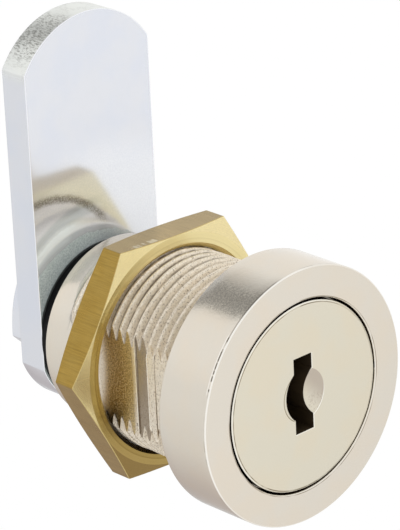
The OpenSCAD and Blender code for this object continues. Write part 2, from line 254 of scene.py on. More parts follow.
class FinishColours(bpy.types.PropertyGroup):
    """The base colours of the finishes, as a screen shows them"""

    nickel: colour("Nickel", "Satin nickel on the head", (0.870, 0.842, 0.793))
    cast: colour("Cast nickel", "Nickel on the grainy cast thread", (0.94, 0.90, 0.83))
    plug: colour("Plug", "Satin nickel on the plug's face", (0.870, 0.845, 0.775))
    drawn_brass: colour("Drawn brass", "Brass on the nut's drawn sides", (0.66, 0.548, 0.285))
    turned_brass: colour("Turned brass", "Brass on the nut's turned faces", (0.84, 0.765, 0.50))
    zinc: colour("Zinc", "Bright zinc plate on the cam and its screw", (0.905, 0.913, 0.935))
    steel: colour("Steel", "Steel of the springs", (0.72, 0.73, 0.75))
    black: colour("Black", "Black paint on the stop washer", (0.07, 0.07, 0.075))
    wafer: colour("Wafer brass", "Brass of the wafers", (0.80, 0.70, 0.42))


class StudioSettings(bpy.types.PropertyGroup):
    """The camera, the floor and the light"""

    azimuth: angle("Azimuth", "Camera's direction round the lock", -42.56)
    elevation: angle("Elevation", "Camera's height angle", 22.44)
    roll: angle("Roll", "Camera's roll", -2.81)
    right: place("Right", "How far the lock's origin lies to the right of the picture's middle", 5.13)
    up: place("Up", "How far the lock's origin lies above the picture's middle", -10.10)
    distance: length("Distance", "Distance from the camera to the lock's origin", 308.43)
    focal: bpy.props.FloatProperty(
        name="Focal length", description="Focal length in pixels of the picture", default=3477, min=100
    )
    floor: place("Floor", "Height of the floor", -60)
    level: share("Level", "Level of the light all round", 1.0)
    card: share("Card", "Tone of the dark card above and behind", 0.40)
    below: share("Below", "Tone of the shade below and behind", 0.55)


class Value:
    """One output in a node tree, so that shader maths reads as plain Python."""

    def __init__(self, tree, socket):
        self.tree = tree
        self.socket = socket

    def maths(self, operation, *others):
        """A Math node on this value and others."""
        node = self.tree.nodes.new("ShaderNodeMath")
        node.operation = operation
        for socket, value in zip(node.inputs, (self, *others)):
            connect(self.tree, socket, value)
        return Value(self.tree, node.outputs[0])

    def __add__(self, other):
        return self.maths("ADD", other)

    __radd__ = __add__

    def __sub__(self, other):
        return self.maths("SUBTRACT", other)

    def __rsub__(self, other):
        return (self * -1) + other

    def __mul__(self, other):
        return self.maths("MULTIPLY", other)

    __rmul__ = __mul__

    def __truediv__(self, other):
        return self.maths("DIVIDE", other)

    def __pow__(self, other):
        return self.maths("POWER", other)

    def __abs__(self):
        return self.maths("ABSOLUTE")

    def most(self, other):
        return self.maths("MAXIMUM", other)

    def least(self, other):
        return self.maths("MINIMUM", other)


def connect(tree, socket, value):
    """Links a value to a socket, or sets the socket to a plain number or colour."""
    if isinstance(value, Value):
        tree.links.new(value.socket, socket)
    elif socket.type == "RGBA" and len(value) == 3:
        socket.default_value = (*value, 1)
    else:
        socket.default_value = value


class Shader:
    """Adds nodes to one node tree."""

    def __init__(self, tree):
        self.tree = tree

    def node(self, kind, settings=None, inputs=None, output=0):
        """A node of a type, with its settings set first and then its inputs, by name or by number."""
        node = self.tree.nodes.new(kind)
        for name, setting in (settings or {}).items():
            if name == "stops":
                self.set_stops(node.color_ramp, setting)
            else:
                setattr(node, name, setting)
        for name, value in (inputs or {}).items():
            connect(self.tree, node.inputs[name], value)
        return Value(self.tree, node.outputs[output])

    def set_stops(self, ramp, stops):
        """Gives a colour ramp its stops, each a position and a colour."""
        while len(ramp.elements) < len(stops):
            ramp.elements.new(1)
        for element, (position, shade) in zip(ramp.elements, stops):
            element.position = position
            element.color = (*shade, 1)

    def parts(self, vector):
        """The three parts of a vector."""
        kind, inputs = "ShaderNodeSeparateXYZ", {"Vector": vector}
        return tuple(self.node(kind, inputs=inputs, output=axis) for axis in ("X", "Y", "Z"))

    def noise(self, vector, grain, detail=2.0, rough=0.5):
        """Noise from 0 to 1, whose grain is a length."""
        inputs = {"Vector": vector, "Scale": 1 / grain, "Detail": detail, "Roughness": rough}
        return self.node("ShaderNodeTexNoise", inputs=inputs)

    def line_noise(self, number, grain, detail=2.0):
        """Noise along one number only, such as the distance from the axis."""
        inputs = {"W": number, "Scale": 1 / grain, "Detail": detail}
        return self.node("ShaderNodeTexNoise", {"noise_dimensions": "1D"}, inputs)

    def fade(self, value, low, high, start=0.0, finish=1.0):
        """A soft step from start to finish as the value goes from low to high."""
        return self.node(
            "ShaderNodeMapRange",
            {"interpolation_type": "SMOOTHSTEP"},
            {"Value": value, "From Min": low, "From Max": high, "To Min": start, "To Max": finish},
        )

    def fall(self, value, low, high):
        """A mask that is 1 up to low and 0 from high."""
        return self.fade(value, low, high, 1, 0)

    def band(self, value, low, high, soft):
        """A mask that is 1 from low to high, with soft borders."""
        return self.fade(value, low - soft, low) * self.fall(value, high, high + soft)

    def mix(self, factor, first, second, blend="MIX"):
        """The first colour where the factor is 0 and the second where it is 1."""
        choices = {"data_type": "RGBA", "blend_type": blend}
        return self.node("ShaderNodeMix", choices, {0: factor, 6: first, 7: second}, output=2)

    def shade(self, base, factor):
        """A colour made lighter or darker by a factor that changes over the surface."""
        grey = self.node("ShaderNodeCombineColor", inputs={0: factor, 1: factor, 2: factor})
        return self.mix(1.0, base, grey, "MULTIPLY")

    def bump(self, height, depth, strength):
        """The normal of a surface whose height changes by a depth as the value goes from 0 to 1."""
        return self.node("ShaderNodeBump", inputs={"Height": height, "Distance": depth, "Strength": strength})


class Finish(Shader):
    """A material whose metal changes over the surface. Its places are in the lock's frame."""

    def __init__(self, name):
        self.material = bpy.data.materials.new(name)
        self.material.use_nodes = True
        super().__init__(self.material.node_tree)
        self.tree.nodes.clear()

    @cached_property
    def point(self):
        """The point on the piece."""
        return self.node("ShaderNodeTexCoord", output="Object")

    @cached_property
    def places(self):
        """How far the point lies across the lock, along its axis and up."""
        return self.parts(self.point)

    @cached_property
    def radius(self):
        """Distance from the axis."""
        return self.distance(self.places[0], self.places[2])

    @cached_property
    def turn(self):
        """Angle round the axis, from straight up."""
        return self.node("ShaderNodeMath", {"operation": "ARCTAN2"}, {0: self.places[0], 1: self.places[2]})

    @cached_property
    def facing(self):
        """1 on a face square to the lock's axis and 0 on one along it."""
        return abs(self.parts(self.node("ShaderNodeTexCoord", output="Normal"))[1])

    def distance(self, across, up):
        """Distance from a place, of which only the parts across and up count."""
        return (across * across + up * up) ** 0.5

    def spots(self, grain, detail=2.0, rough=0.5, stretch=None):
        """Noise from 0 to 1 over the piece, whose grain is a length. A stretch under 1 draws it out."""
        vector = self.point
        if stretch is not None:
            vector = self.node("ShaderNodeVectorMath", {"operation": "MULTIPLY"}, {0: vector, 1: stretch})
        return self.noise(vector, grain, detail, rough)

    def tinted(self, tint, mask, shown):
        """A tint that turns to another colour, as a screen shows it, where the mask is 1."""
        return self.mix(mask, tint, linear(shown))

    def speckled(self, spots, low, high, first, second):
        """Two colours, as a screen shows them, in spots."""
        return self.mix(self.fade(spots, low, high), linear(first), linear(second))

    def metal(self, base, roughness, normal, metallic=1.0, gloss=0.5):
        """Ends the material. The gloss is the specular level of what isn't metal."""
        inputs = {"Base Color": base, "Roughness": roughness, "Metallic": metallic, "Normal": normal}
        inputs["Specular IOR Level"] = gloss
        return self.ended(self.node("ShaderNodeBsdfPrincipled", inputs=inputs))

    def ended(self, shader):
        """The material, with a shader as its surface."""
        output = self.tree.nodes.new("ShaderNodeOutputMaterial")
        connect(self.tree, output.inputs["Surface"], shader)
        return self.material


def toned(base, *factors):
    """A colour with its red, green and blue each scaled."""
    return tuple(part * factor for part, factor in zip(base, factors))


def plated(finish, base, cloud, grain):
    """The faintly cloudy tone of satin nickel plate, with painted light that grows towards the upper left."""
    tint = finish.mix(finish.fade(cloud, 0.38, 0.66), base, toned(base, 1.01, 0.985, 0.955))
    across, _, up = finish.places
    # Painted light: the plate is lighter towards the upper left and darker towards the lower right
    slope = (up - across) * (0.0018 / MM)
    speckle = finish.spots(0.20 * MM, 3, 0.6)
    return finish.shade(tint, 0.93 + cloud * 0.045 + grain * 0.03 + speckle * 0.07 + slope)


# Tints on the plug, as a screen shows them
# Painted highlight on the plug's chamfers
CHAMFER_HIGHLIGHT = (0.97, 0.955, 0.91)
# Painted shade in the dimple, with its specks
DIMPLE_SHADE_AND_SPECKS = (0.70, 0.65, 0.60)
# Painted highlight on the dimple's lip
DIMPLE_LIP_HIGHLIGHT = (1.0, 0.99, 0.96)
DIMPLE_DARK_LIP = (0.50, 0.45, 0.33)
PLUG_RIM_DARK_LINE = (0.40, 0.33, 0.22)
# Painted shade in the keyway and on the recess's wall
PAINTED_RECESS_SHADE = (0.22, 0.17, 0.10)


def satin_nickel(name, base, plug, keyway):
    """Satin nickel plate on the plug: a fine grain, painted highlights on the broken edges and painted shade
    in the keyway.
    """
    finish = Finish(name)
    along = finish.places[1]
    grain = finish.spots(PLATE_GRAIN, 3)
    cloud = finish.spots(PLATE_CLOUD, 3)
    front = finish.fall(along, plug.face + 0.15 * MM, plug.face + 0.2 * MM)

    tint = plated(finish, base, cloud, grain)
    # Painted highlight on the chamfers round the face and the keyway's mouth
    tint = finish.tinted(tint, finish.band(finish.facing, 0.45, 0.86, 0.03) * front * 0.75, CHAMFER_HIGHLIGHT)
    tint, dimple = dimple_tint(finish, tint, plug, keyway)
    # A dark line inside the plug's edge
    tint = finish.tinted(tint, plug_rim_dark_line(finish, plug) * front, PLUG_RIM_DARK_LINE)

    behind_face = finish.fade(along, plug.face + 0.07 * MM, plug.face + 0.12 * MM)
    inside = behind_face * finish.fall(finish.facing, 0.3, 0.5) * finish.fall(finish.radius, 5.5 * MM, 6 * MM)
    # Painted shade inside the keyway, mottled
    shade_mottle = finish.spots(0.5 * MM, 3, stretch=(1, 0.3, 1))
    tint = finish.mix(inside, tint, finish.shade(linear(PAINTED_RECESS_SHADE), 0.5 + shade_mottle))
    rough = 0.20 + cloud * 0.05 + grain * 0.05 + inside * 0.35 - dimple * 0.03
    normal = finish.bump(grain * (1 + dimple * 2), 0.004 * MM, 0.6)
    return finish.metal(tint, rough, normal, 1 - inside * 0.75)


def dimple_tint(finish, tint, plug, keyway):
    """Paints shade and specks in the dimple, and a highlight and a dark line on its lip. Gives the tint and
    the dimple's mask.
    """
    across, along, up = finish.places
    above = up - keyway.dimple_rise
    from_middle = finish.distance(across, above)
    edge = keyway.dimple_radius
    on_face = finish.fall(along, plug.face + 0.3 * MM, plug.face + 0.35 * MM)
    on_face = on_face * finish.fade(finish.facing, 0.5, 0.8)
    dimple = finish.fall(from_middle, edge, edge + 0.05 * MM) * on_face
    specks = finish.fade(finish.spots(0.16 * MM, 3, 0.6), 0.52, 0.62) * finish.fall(up, -0.6 * MM, 0.3 * MM)
    # Painted shade: the dimple darker towards the upper right, with specks
    shaded_side = finish.fade(across + above, -0.5 * MM, 2.6 * MM, 0.1, 0.75)
    tint = finish.tinted(tint, dimple * (shaded_side + specks * 0.35), DIMPLE_SHADE_AND_SPECKS)
    lip = finish.band(from_middle, edge - 0.02 * MM, edge + 0.05 * MM, 0.03 * MM) * on_face
    # Painted highlight on the lip's lower right
    tint = finish.tinted(tint, lip * finish.fade(across - above * 1.5, MM, 4 * MM) * 0.7, DIMPLE_LIP_HIGHLIGHT)
    # A dark line on the lip's left part
    tint = finish.tinted(tint, lip * finish.fall(across, -1.5 * MM, -1 * MM) * 0.7, DIMPLE_DARK_LIP)
    return tint, dimple


def plug_rim_dark_line(finish, plug):
    """The uneven dark line inside the plug's edge, fainter towards the right."""
    edge = plug.flange_radius - plug.edge
    line = finish.band(finish.radius, edge - 0.11 * MM, edge - 0.03 * MM, 0.02 * MM)
    uneven = finish.fade(finish.line_noise(finish.turn * plug.flange_radius, 2.5 * MM), 0.36, 0.56, 0.25, 1)
    return line * uneven * finish.fade(finish.places[0], 0, 6 * MM, 0.75, 0.35)


# Tints on the housing, as a screen shows them
CAST_PALE = (0.87, 0.82, 0.74)
CAST_WORN = (0.90, 0.87, 0.81)
# Painted shade with grime in the thread's roots
ROOT_SHADE_AND_GRIME = (0.30, 0.22, 0.15)
# Painted highlight on the thread's crests
CREST_HIGHLIGHT = (0.99, 0.97, 0.93)
CAST_PIT = (0.40, 0.33, 0.26)
# Painted reflection of the brass nut on the flats, dark and pale
REFLECTED_BRASS_DARK = (0.46, 0.35, 0.12)
REFLECTED_BRASS_PALE = (0.88, 0.78, 0.50)
BROAD_MARK = (0.57, 0.51, 0.435)
NARROW_MARK = (0.50, 0.43, 0.35)
# Painted highlight on the flats' ridges
RIDGE_HIGHLIGHT = (0.97, 0.94, 0.88)
SPECKLED_PLATE = (0.87, 0.845, 0.79)
# Painted highlight on the head's rim
RIM_HIGHLIGHT = (0.985, 0.975, 0.95)
RIM_DARK_TICK = (0.34, 0.30, 0.25)
RECESS_DARK_LINE = (0.44, 0.37, 0.26)

# Stretches round the axis, in radians from straight up
# Stretch where the painted highlight on the rim is brightest
BRIGHTEST_RIM = (-1.9, -0.1)
TICKED_RIM = (-1.20, -0.80)
GREY_LINE_RIM = (-0.80, -0.26)
SPECKLED_RIM = (-0.58, -0.42)
# Stretch where painted light brightens the thread's upper part
LIT_THREAD = (-0.75, -0.2)
RUN_OUT = (-1.15, 0.6)


class CastNickel(Finish):
    """Nickel plate on the housing: satin on the head and the spigot, grainy on the thread and the flats."""

    def __init__(self, name, head, barrel):
        super().__init__(name)
        self.head = head
        self.barrel = barrel
        across, along, _ = self.places
        self.grain = self.spots(PLATE_GRAIN, 3)
        self.cloud = self.spots(PLATE_CLOUD, 3)
        self.coarse = self.spots(0.19 * MM, 4, 0.62)
        self.patch = self.spots(1.1 * MM, 2)
        self.cast = self.band(along, 0.2 * MM, barrel.flat_end + barrel.last_crest, 0.1 * MM)
        self.flat = self.fade(abs(across), barrel.flat - 0.03 * MM, barrel.flat - 0.01 * MM) * self.cast
        self.round = self.cast * (1 - self.flat)
        self.near_head = self.fall(along, 4 * MM, 9.5 * MM)
        self.pits = self.fade(self.spots(0.15 * MM, 4, 0.66), 0.56, 0.64) * self.cast
        self.find_thread(along)
        self.find_marks(along)

    def find_thread(self, along):
        """Painted shade with grime in the helix's roots and painted highlights on its crests, which fade
        towards the head.
        """
        helix = (along - self.barrel.lead) / self.barrel.pitch - self.turn / math.tau
        phase = helix - helix.maths("ROUND")
        deep = (1 - self.near_head * 0.85) * self.fade(self.patch, 0.34, 0.56, 0.45, 1)
        groove = (0.265 - self.turn * 0.13).most(0.22).least(0.42)
        # Painted shade with grime in the roots
        self.root = self.fade(abs(phase) - groove, -0.085, -0.02) * self.round * deep
        # Painted highlight on the crests
        crest = self.band(phase, -0.02, 0.07, 0.04) * self.fade(self.patch, 0.36, 0.54, 0.3, 1)
        self.crest = crest * self.round * deep

    def find_marks(self, along):
        """The two marks across the flats, with the ridges beside the broad one."""
        barrel = self.barrel
        wandering = along + (self.patch - 0.5) * 0.12 * MM
        start, end = barrel.broad_mark, barrel.full_flat - 0.06 * MM
        self.broad_mark = self.band(wandering, start, end, 0.03 * MM) * self.flat
        narrow_end = barrel.narrow_mark + barrel.ridge
        self.narrow_mark = self.band(along, barrel.narrow_mark, narrow_end, 0.02 * MM) * self.flat
        ridge = self.band(wandering, end, barrel.full_flat + 0.14 * MM, 0.04 * MM)
        second = self.band(wandering, start - 0.14 * MM, start - 0.03 * MM, 0.02 * MM)
        self.ridge = ridge.most(second * 0.7) * self.flat

    def cast_tint(self, cast):
        """The grainy casting: thread, flats and marks."""
        along = self.places[1]
        tint = self.mix(self.fade(self.coarse, 0.36, 0.64), cast, linear(CAST_PALE))
        tint = self.tinted(tint, self.fade(self.patch, 0.40, 0.62) * 0.3, CAST_WORN)
        # Painted light: the thread lighter over its upper part
        tint = self.shade(tint, 1 + self.fade(self.turn, *LIT_THREAD) * 0.14)
        # Painted shade with grime in the thread's roots
        tint = self.tinted(tint, self.root * 0.75, ROOT_SHADE_AND_GRIME)
        # Painted highlight on the thread's crests
        tint = self.tinted(tint, self.crest * 0.7, CREST_HIGHLIGHT)
        tint = self.tinted(tint, self.pits * (1 - self.crest * 0.6) * (0.5 + self.near_head * 0.2), CAST_PIT)
        start = self.barrel.full_flat
        # Painted reflection of the brass nut on the flats
        brass_reflection = self.fade(along, start + 0.3 * MM, start + 0.7 * MM)
        brass_reflection = brass_reflection * self.fall(along, start + 3.6 * MM, start + 4.6 * MM)
        brass_reflection_tint = self.speckled(self.spots(0.15 * MM, 3, 0.65), 0.40, 0.62, REFLECTED_BRASS_DARK, REFLECTED_BRASS_PALE)
        tint = self.mix(brass_reflection * self.flat * 0.72, tint, brass_reflection_tint)
        tint = self.tinted(tint, self.broad_mark * 0.85, BROAD_MARK)
        tint = self.tinted(tint, self.narrow_mark * 0.8, NARROW_MARK)
        # Painted highlight on the ridges
        return self.tinted(tint, self.ridge * 0.9, RIDGE_HIGHLIGHT)

    def plate_tint(self, base):
        """The satin head and spigot: a painted highlight along the rim with dark ticks, a speckled patch, a
        dark line round the recess's mouth and painted shade on its wall.
        """
        head, face = self.head, self.head.face
        along = self.places[1]
        outer = self.fade(self.radius, head.radius - 0.06 * MM, head.radius - 0.03 * MM)
        ticked = self.band(self.turn, *TICKED_RIM, 0.06)
        patch = self.band(self.turn, *SPECKLED_RIM, 0.10) * outer
        dots = self.fade(self.spots(0.15 * MM, 3, 0.7), 0.36, 0.64)
        tint = plated(self, base, self.cloud, self.grain)
        tint = self.mix(patch * 0.7, tint, self.shade(linear(SPECKLED_PLATE), 0.68 + dots * 0.50))
        # Painted highlight in a band beside the dark ticks
        beside = self.band(along, face + 0.29 * MM, face + 0.37 * MM, 0.04 * MM) * outer * ticked
        # Painted highlight along the rim
        tint = self.tinted(tint, self.rim_highlight(along).most(beside * 0.8) * 0.75, RIM_HIGHLIGHT)
        # A dark line round the recess's mouth
        tint = self.tinted(tint, self.recess_line(along) * 0.7, RECESS_DARK_LINE)
        # Painted shade on the recess's round wall
        tint = self.tinted(tint, self.recess_wall(along) * 0.9, PAINTED_RECESS_SHADE)
        # Dark ticks and a grey line just behind the rim
        return self.tinted(tint, self.rim_dark_ticks(along, outer, ticked) * 0.9, RIM_DARK_TICK)

    def rim_highlight(self, along):
        """The painted highlight along the edge round the face, brightest on the left."""
        head, face = self.head, self.head.face
        on_rim = self.fade(self.radius, head.radius - 0.13 * MM, head.radius - 0.09 * MM)
        on_rim = on_rim * self.fall(along, face + 0.10 * MM, face + 0.14 * MM)
        edge = self.band(self.facing, 0.2, 0.95, 0.03) * self.fall(along, face + 0.16 * MM, face + 0.2 * MM)
        return edge.most(on_rim) * self.band(self.turn, *BRIGHTEST_RIM, 0.5).most(0.5)

    def rim_dark_ticks(self, along, outer, ticked):
        """Dark ticks just behind the rim: dense on the left, an even grey line on the upper left and few
        ticks elsewhere.
        """
        face, round_rim = self.head.face, self.turn * self.head.radius
        tick = self.fade(self.line_noise(round_rim, 0.9 * MM), 0.44, 0.52)
        scattered = self.fade(self.line_noise(round_rim + 0.09, 6 * MM, 1), 0.46, 0.60)
        upper_left = self.band(self.turn, *GREY_LINE_RIM, 0.10)
        strength = (tick * ticked * 0.95).most(upper_left * 0.5).most(tick * scattered * 0.25)
        return self.band(along, face + 0.12 * MM, face + 0.23 * MM, 0.03 * MM) * outer * strength

    def recess_line(self, along):
        """The uneven dark line round the recess's mouth."""
        head, mouth = self.head, self.head.recess_radius + self.head.recess_edge
        line = self.band(self.radius, mouth + 0.02 * MM, mouth + 0.08 * MM, 0.02 * MM)
        line = line * self.fall(along, head.face + 0.05 * MM, head.face + 0.08 * MM)
        uneven = self.line_noise(self.turn * head.recess_radius, 3 * MM)
        return line * self.fade(uneven, 0.36, 0.56, 0.2, 1)

    def recess_wall(self, along):
        """The recess's round wall, behind the chamfer at its mouth."""
        face, radius = self.head.face, self.head.recess_radius
        wall = self.band(self.radius, radius - 0.02 * MM, radius + 0.01 * MM, 0.02 * MM)
        wall = wall * self.fade(along, face + 0.10 * MM, face + 0.14 * MM)
        return wall * self.fall(along, -3 * MM, -2.9 * MM)


def cast_nickel(head, barrel, base, cast):
    """The housing's plate, with its grain, pits and run-out line in the normal."""
    finish = CastNickel("cast_nickel_plate", head, barrel)
    tint = finish.mix(finish.cast, finish.plate_tint(base), finish.cast_tint(cast))
    rough_cast, flat, coarse, grain = finish.cast, finish.flat, finish.coarse, finish.grain
    smooth = finish.broad_mark.most(finish.ridge).most(finish.crest * 0.6)
    rough = 0.13 + finish.cloud * 0.04 + grain * 0.06 + rough_cast * (1 - smooth) * 0.20
    rough = rough - flat * 0.08 + finish.broad_mark * 0.18
    end = barrel.flat_end + barrel.last_crest
    slanting = finish.places[1] + finish.turn * 0.16 * MM
    run_out = finish.band(slanting, end + 0.20 * MM, end + 0.28 * MM, 0.05 * MM)
    run_out = run_out * finish.band(finish.turn, *RUN_OUT, 0.15)
    height = grain * (0.30 - rough_cast * 0.2) + finish.spots(0.24 * MM, 3, 0.6) * (1 - rough_cast) * 0.7
    height = height + rough_cast * (1 - smooth) * coarse * (1 - flat * 0.45) * 3.0
    height = height - finish.pits * 1.0 + run_out * 2.5
    metallic = 1 - (finish.round * (0.35 + finish.near_head * 0.25)).most(finish.ridge * 0.5)
    return finish.metal(tint, rough, finish.bump(height, 0.016 * MM, 0.8), metallic)


# Tints on the nut, as a screen shows them
# Painted reflection of the pale room on the nut's top side
BRASS_TOP_REFLECTION = (0.70, 0.625, 0.47)
# Painted light on the upper chamfers and ring
BRASS_LIT_CONE = (1.0, 0.935, 0.71)
BRASS_LIT_RING = (1.0, 0.94, 0.71)
# Painted shade on the lower part of the front face
BRASS_SHADED = (0.60, 0.50, 0.29)
BRASS_SHADED_CONE = (0.42, 0.31, 0.13)
# The inner band's darker tone, with painted shade below
BRASS_INNER_TONE_AND_SHADE = (0.52, 0.42, 0.18)
BRASS_STEP = (0.42, 0.33, 0.12)
# Painted shade below and painted light above in the bore and its countersink
BRASS_BORE_DARK = (0.29, 0.22, 0.09)
BRASS_BORE_LIT = (1.0, 0.89, 0.58)
# Painted highlight on the nut's broken edges
BRASS_EDGE_HIGHLIGHT = (0.95, 0.89, 0.66)
BRASS_SCRATCH = (0.90, 0.85, 0.72)


def machined_brass(name, drawn, turned, nut):
    """Brass with fine lines along the drawn sides, turned rings on the faces, painted light and shade on the
    faces and in the bore, and painted highlights on the broken edges.
    """
    finish = Finish(name)
    up = finish.places[2]
    lines = finish.spots(0.10 * MM, 3, 0.6, (1, 0.035, 1))
    broad = finish.spots(0.45 * MM, 2, 0.5, (1, 0.05, 1))
    rings = finish.line_noise(finish.radius, 0.07 * MM, 3)
    cloud = finish.spots(2.2 * MM, 3)
    grain = finish.spots(0.12 * MM)
    face = finish.fade(finish.facing, 0.86, 0.93)
    mouth = nut.bore_radius + nut.countersink
    inner = finish.fall(finish.radius, mouth, mouth + 0.03 * MM) * (1 - face)
    lit = finish.fade(up, -5 * MM, -2 * MM)

    side_tint = drawn_side_tint(finish, drawn, cloud, lines * 0.68 + broad * 0.16)
    flat_ring = nut.width / 2 - nut.ring_inset
    cone = finish.fade(finish.radius, flat_ring - 0.01 * MM, flat_ring + 0.03 * MM) * face
    face_tint, dullness = turned_face_tint(finish, turned, cloud, face, cone, nut)
    face_tint = finish.shade(face_tint, 0.87 + rings * 0.24 + grain * 0.08 + cone * (lines - 0.5) * 0.35)
    # Painted shade below and painted light above in the bore and its countersink
    inner_tint = finish.mix(lit, linear(BRASS_BORE_DARK), linear(BRASS_BORE_LIT))
    tint = finish.mix(face, side_tint, face_tint)
    tint = finish.mix(inner, tint, finish.shade(inner_tint, 0.8 + rings * 0.3))
    outer = finish.fade(finish.radius, nut.step_radius + 0.05 * MM, nut.step_radius + 0.15 * MM)
    edge = finish.band(finish.facing, 0.30, 0.86, 0.05) * outer
    # Painted highlight on the broken edges
    tint = finish.tinted(tint, edge * 0.45, BRASS_EDGE_HIGHLIGHT)
    scratches = top_scratches(finish, nut) * (1 - face)
    tint = finish.tinted(tint, scratches * 0.75, BRASS_SCRATCH)

    height = (lines * 0.7 + broad * 0.4) * (1 - face) + rings * 0.45 * face - scratches * 1.5
    rough = 0.21 + cloud * 0.06 - face * 0.07 + grain * 0.04
    metallic = 1 - dullness.most(inner * lit * 0.9)
    return finish.metal(tint, rough, finish.bump(height, 0.006 * MM, 0.7), metallic)


def drawn_side_tint(finish, drawn, cloud, lines):
    """The nut's drawn sides. The top one has a painted reflection of the pale room and painted shade towards
    the right.
    """
    upright = finish.parts(finish.node("ShaderNodeTexCoord", output="Normal"))[2]
    top = finish.fade(upright, 0.8, 0.95)
    tint = finish.mix(finish.fade(cloud, 0.35, 0.68), drawn, toned(drawn, 0.94, 0.91, 0.82))
    # Painted reflection of the pale room on the top side
    tint = finish.tinted(tint, top * 0.6, BRASS_TOP_REFLECTION)
    # Painted shade: the top side darker towards the right
    return finish.shade(tint, (0.58 + lines) * (1 - top * (finish.places[0] + 0.5 * MM) * (0.022 / MM)))


def turned_face_tint(finish, turned, cloud, face, cone, nut):
    """The nut's faces: painted light above, painted shade below, and a darker inner band and step with more
    painted shade towards the bottom. Gives the tint and its dullness.
    """
    across, along, up = finish.places
    step_radius = nut.step_radius
    # Painted light: the chamfers and the ring lighter towards the top
    lit_cone = finish.fade(up, -3 * MM, 8 * MM) * cone
    lit_ring = finish.fade(across, -11 * MM, -2 * MM) * finish.fade(up, -2 * MM, 9 * MM) * face * (1 - cone)
    front = finish.fall(along, nut.front + 0.9 * MM, nut.front + 1.9 * MM)
    # Painted shade: the front face darker towards the bottom
    shaded_below = finish.fall(up, -7 * MM, -1.5 * MM) * face * front
    tint = finish.mix(finish.fade(cloud, 0.35, 0.7), turned, toned(turned, 0.96, 0.93, 0.86))
    tint = finish.tinted(tint, cone * 0.85, BRASS_LIT_CONE)
    tint = finish.tinted(tint, lit_ring * 0.8, BRASS_LIT_RING)
    tint = finish.tinted(tint, shaded_below * 0.85, BRASS_SHADED)
    tint = finish.tinted(tint, shaded_below * cone * 0.6, BRASS_SHADED_CONE)
    inner_ring = finish.fall(finish.radius, step_radius - 0.01 * MM, step_radius + 0.05 * MM)
    inner_ring = inner_ring * face * (1 - lit_ring)
    # The inner band a little darker, with painted shade that grows towards the bottom
    tint = finish.tinted(tint, inner_ring * finish.fade(up, -2 * MM, 3 * MM, 0.30, 0.08), BRASS_INNER_TONE_AND_SHADE)
    step = finish.band(finish.radius, step_radius - 0.03 * MM, step_radius + 0.03 * MM, 0.04 * MM) * face
    # The step's dark line, with painted shade that grows towards the bottom
    tint = finish.tinted(tint, step * finish.fade(up, 0, 6 * MM, 0.35, 0.12), BRASS_STEP)
    return tint, (lit_cone * 0.9).most(lit_ring * 0.6)


def top_scratches(finish, nut):
    """A few plain scratches across the nut's top side, near its front."""
    across, along, up = finish.places
    place = finish.band(across, -4.5 * MM, -1.7 * MM, 0.1 * MM)
    place = place * finish.band(along, nut.front + 0.32 * MM, nut.front + 0.88 * MM, 0.06 * MM)
    scratches = finish.fade(finish.spots(0.30 * MM, 1, 0.4, (1, 0.10, 1)), 0.54, 0.60)
    return scratches * place * finish.fade(up, 9 * MM, 10 * MM)


# Tints on the cam and its screw, as a screen shows them
# Painted highlight on the zinc's edges
ZINC_EDGE_HIGHLIGHT = (0.97, 0.975, 0.985)
ZINC_SHEARED = (0.97, 0.975, 0.93)
ZINC_SHEAR_MARK = (0.44, 0.43, 0.40)
ZINC_HAZE = ((0.97, 0.975, 0.99), (0.925, 0.935, 0.955))
# Painted shadow on the cam's face
ZINC_PAINTED_SHADOW = (0.70, 0.75, 0.76)
# Painted reflection of the spigot on the cam's face
ZINC_REFLECTED_SPIGOT = (0.97, 1.0, 1.0)
# Painted reflection of the shade between the thread and the nut
ZINC_REFLECTED_SHADE_ARC = (0.42, 0.38, 0.22)
# Painted reflection of the barrel's shaded end on the cam's face
ZINC_GREY_REFLECTION = ((0.93, 0.975, 0.97), (0.76, 0.82, 0.82))
# Painted shade on the cam's face under and round the stop washer
ZINC_SHADE_UNDER_WASHER = (0.05, 0.055, 0.05)

# The painted arc of reflected shade on the cam's face: its middle across and up, and its radius
ARC_ACROSS = -6.3 * MM
ARC_UP = 4.8 * MM
ARC_RADIUS = 8.7 * MM
# The radius of the painted grey reflection straight above the axis, and how far it shrinks towards the right
GREY_REFLECTION_RADIUS = 8.95 * MM
GREY_REFLECTION_SLANT = 0.11


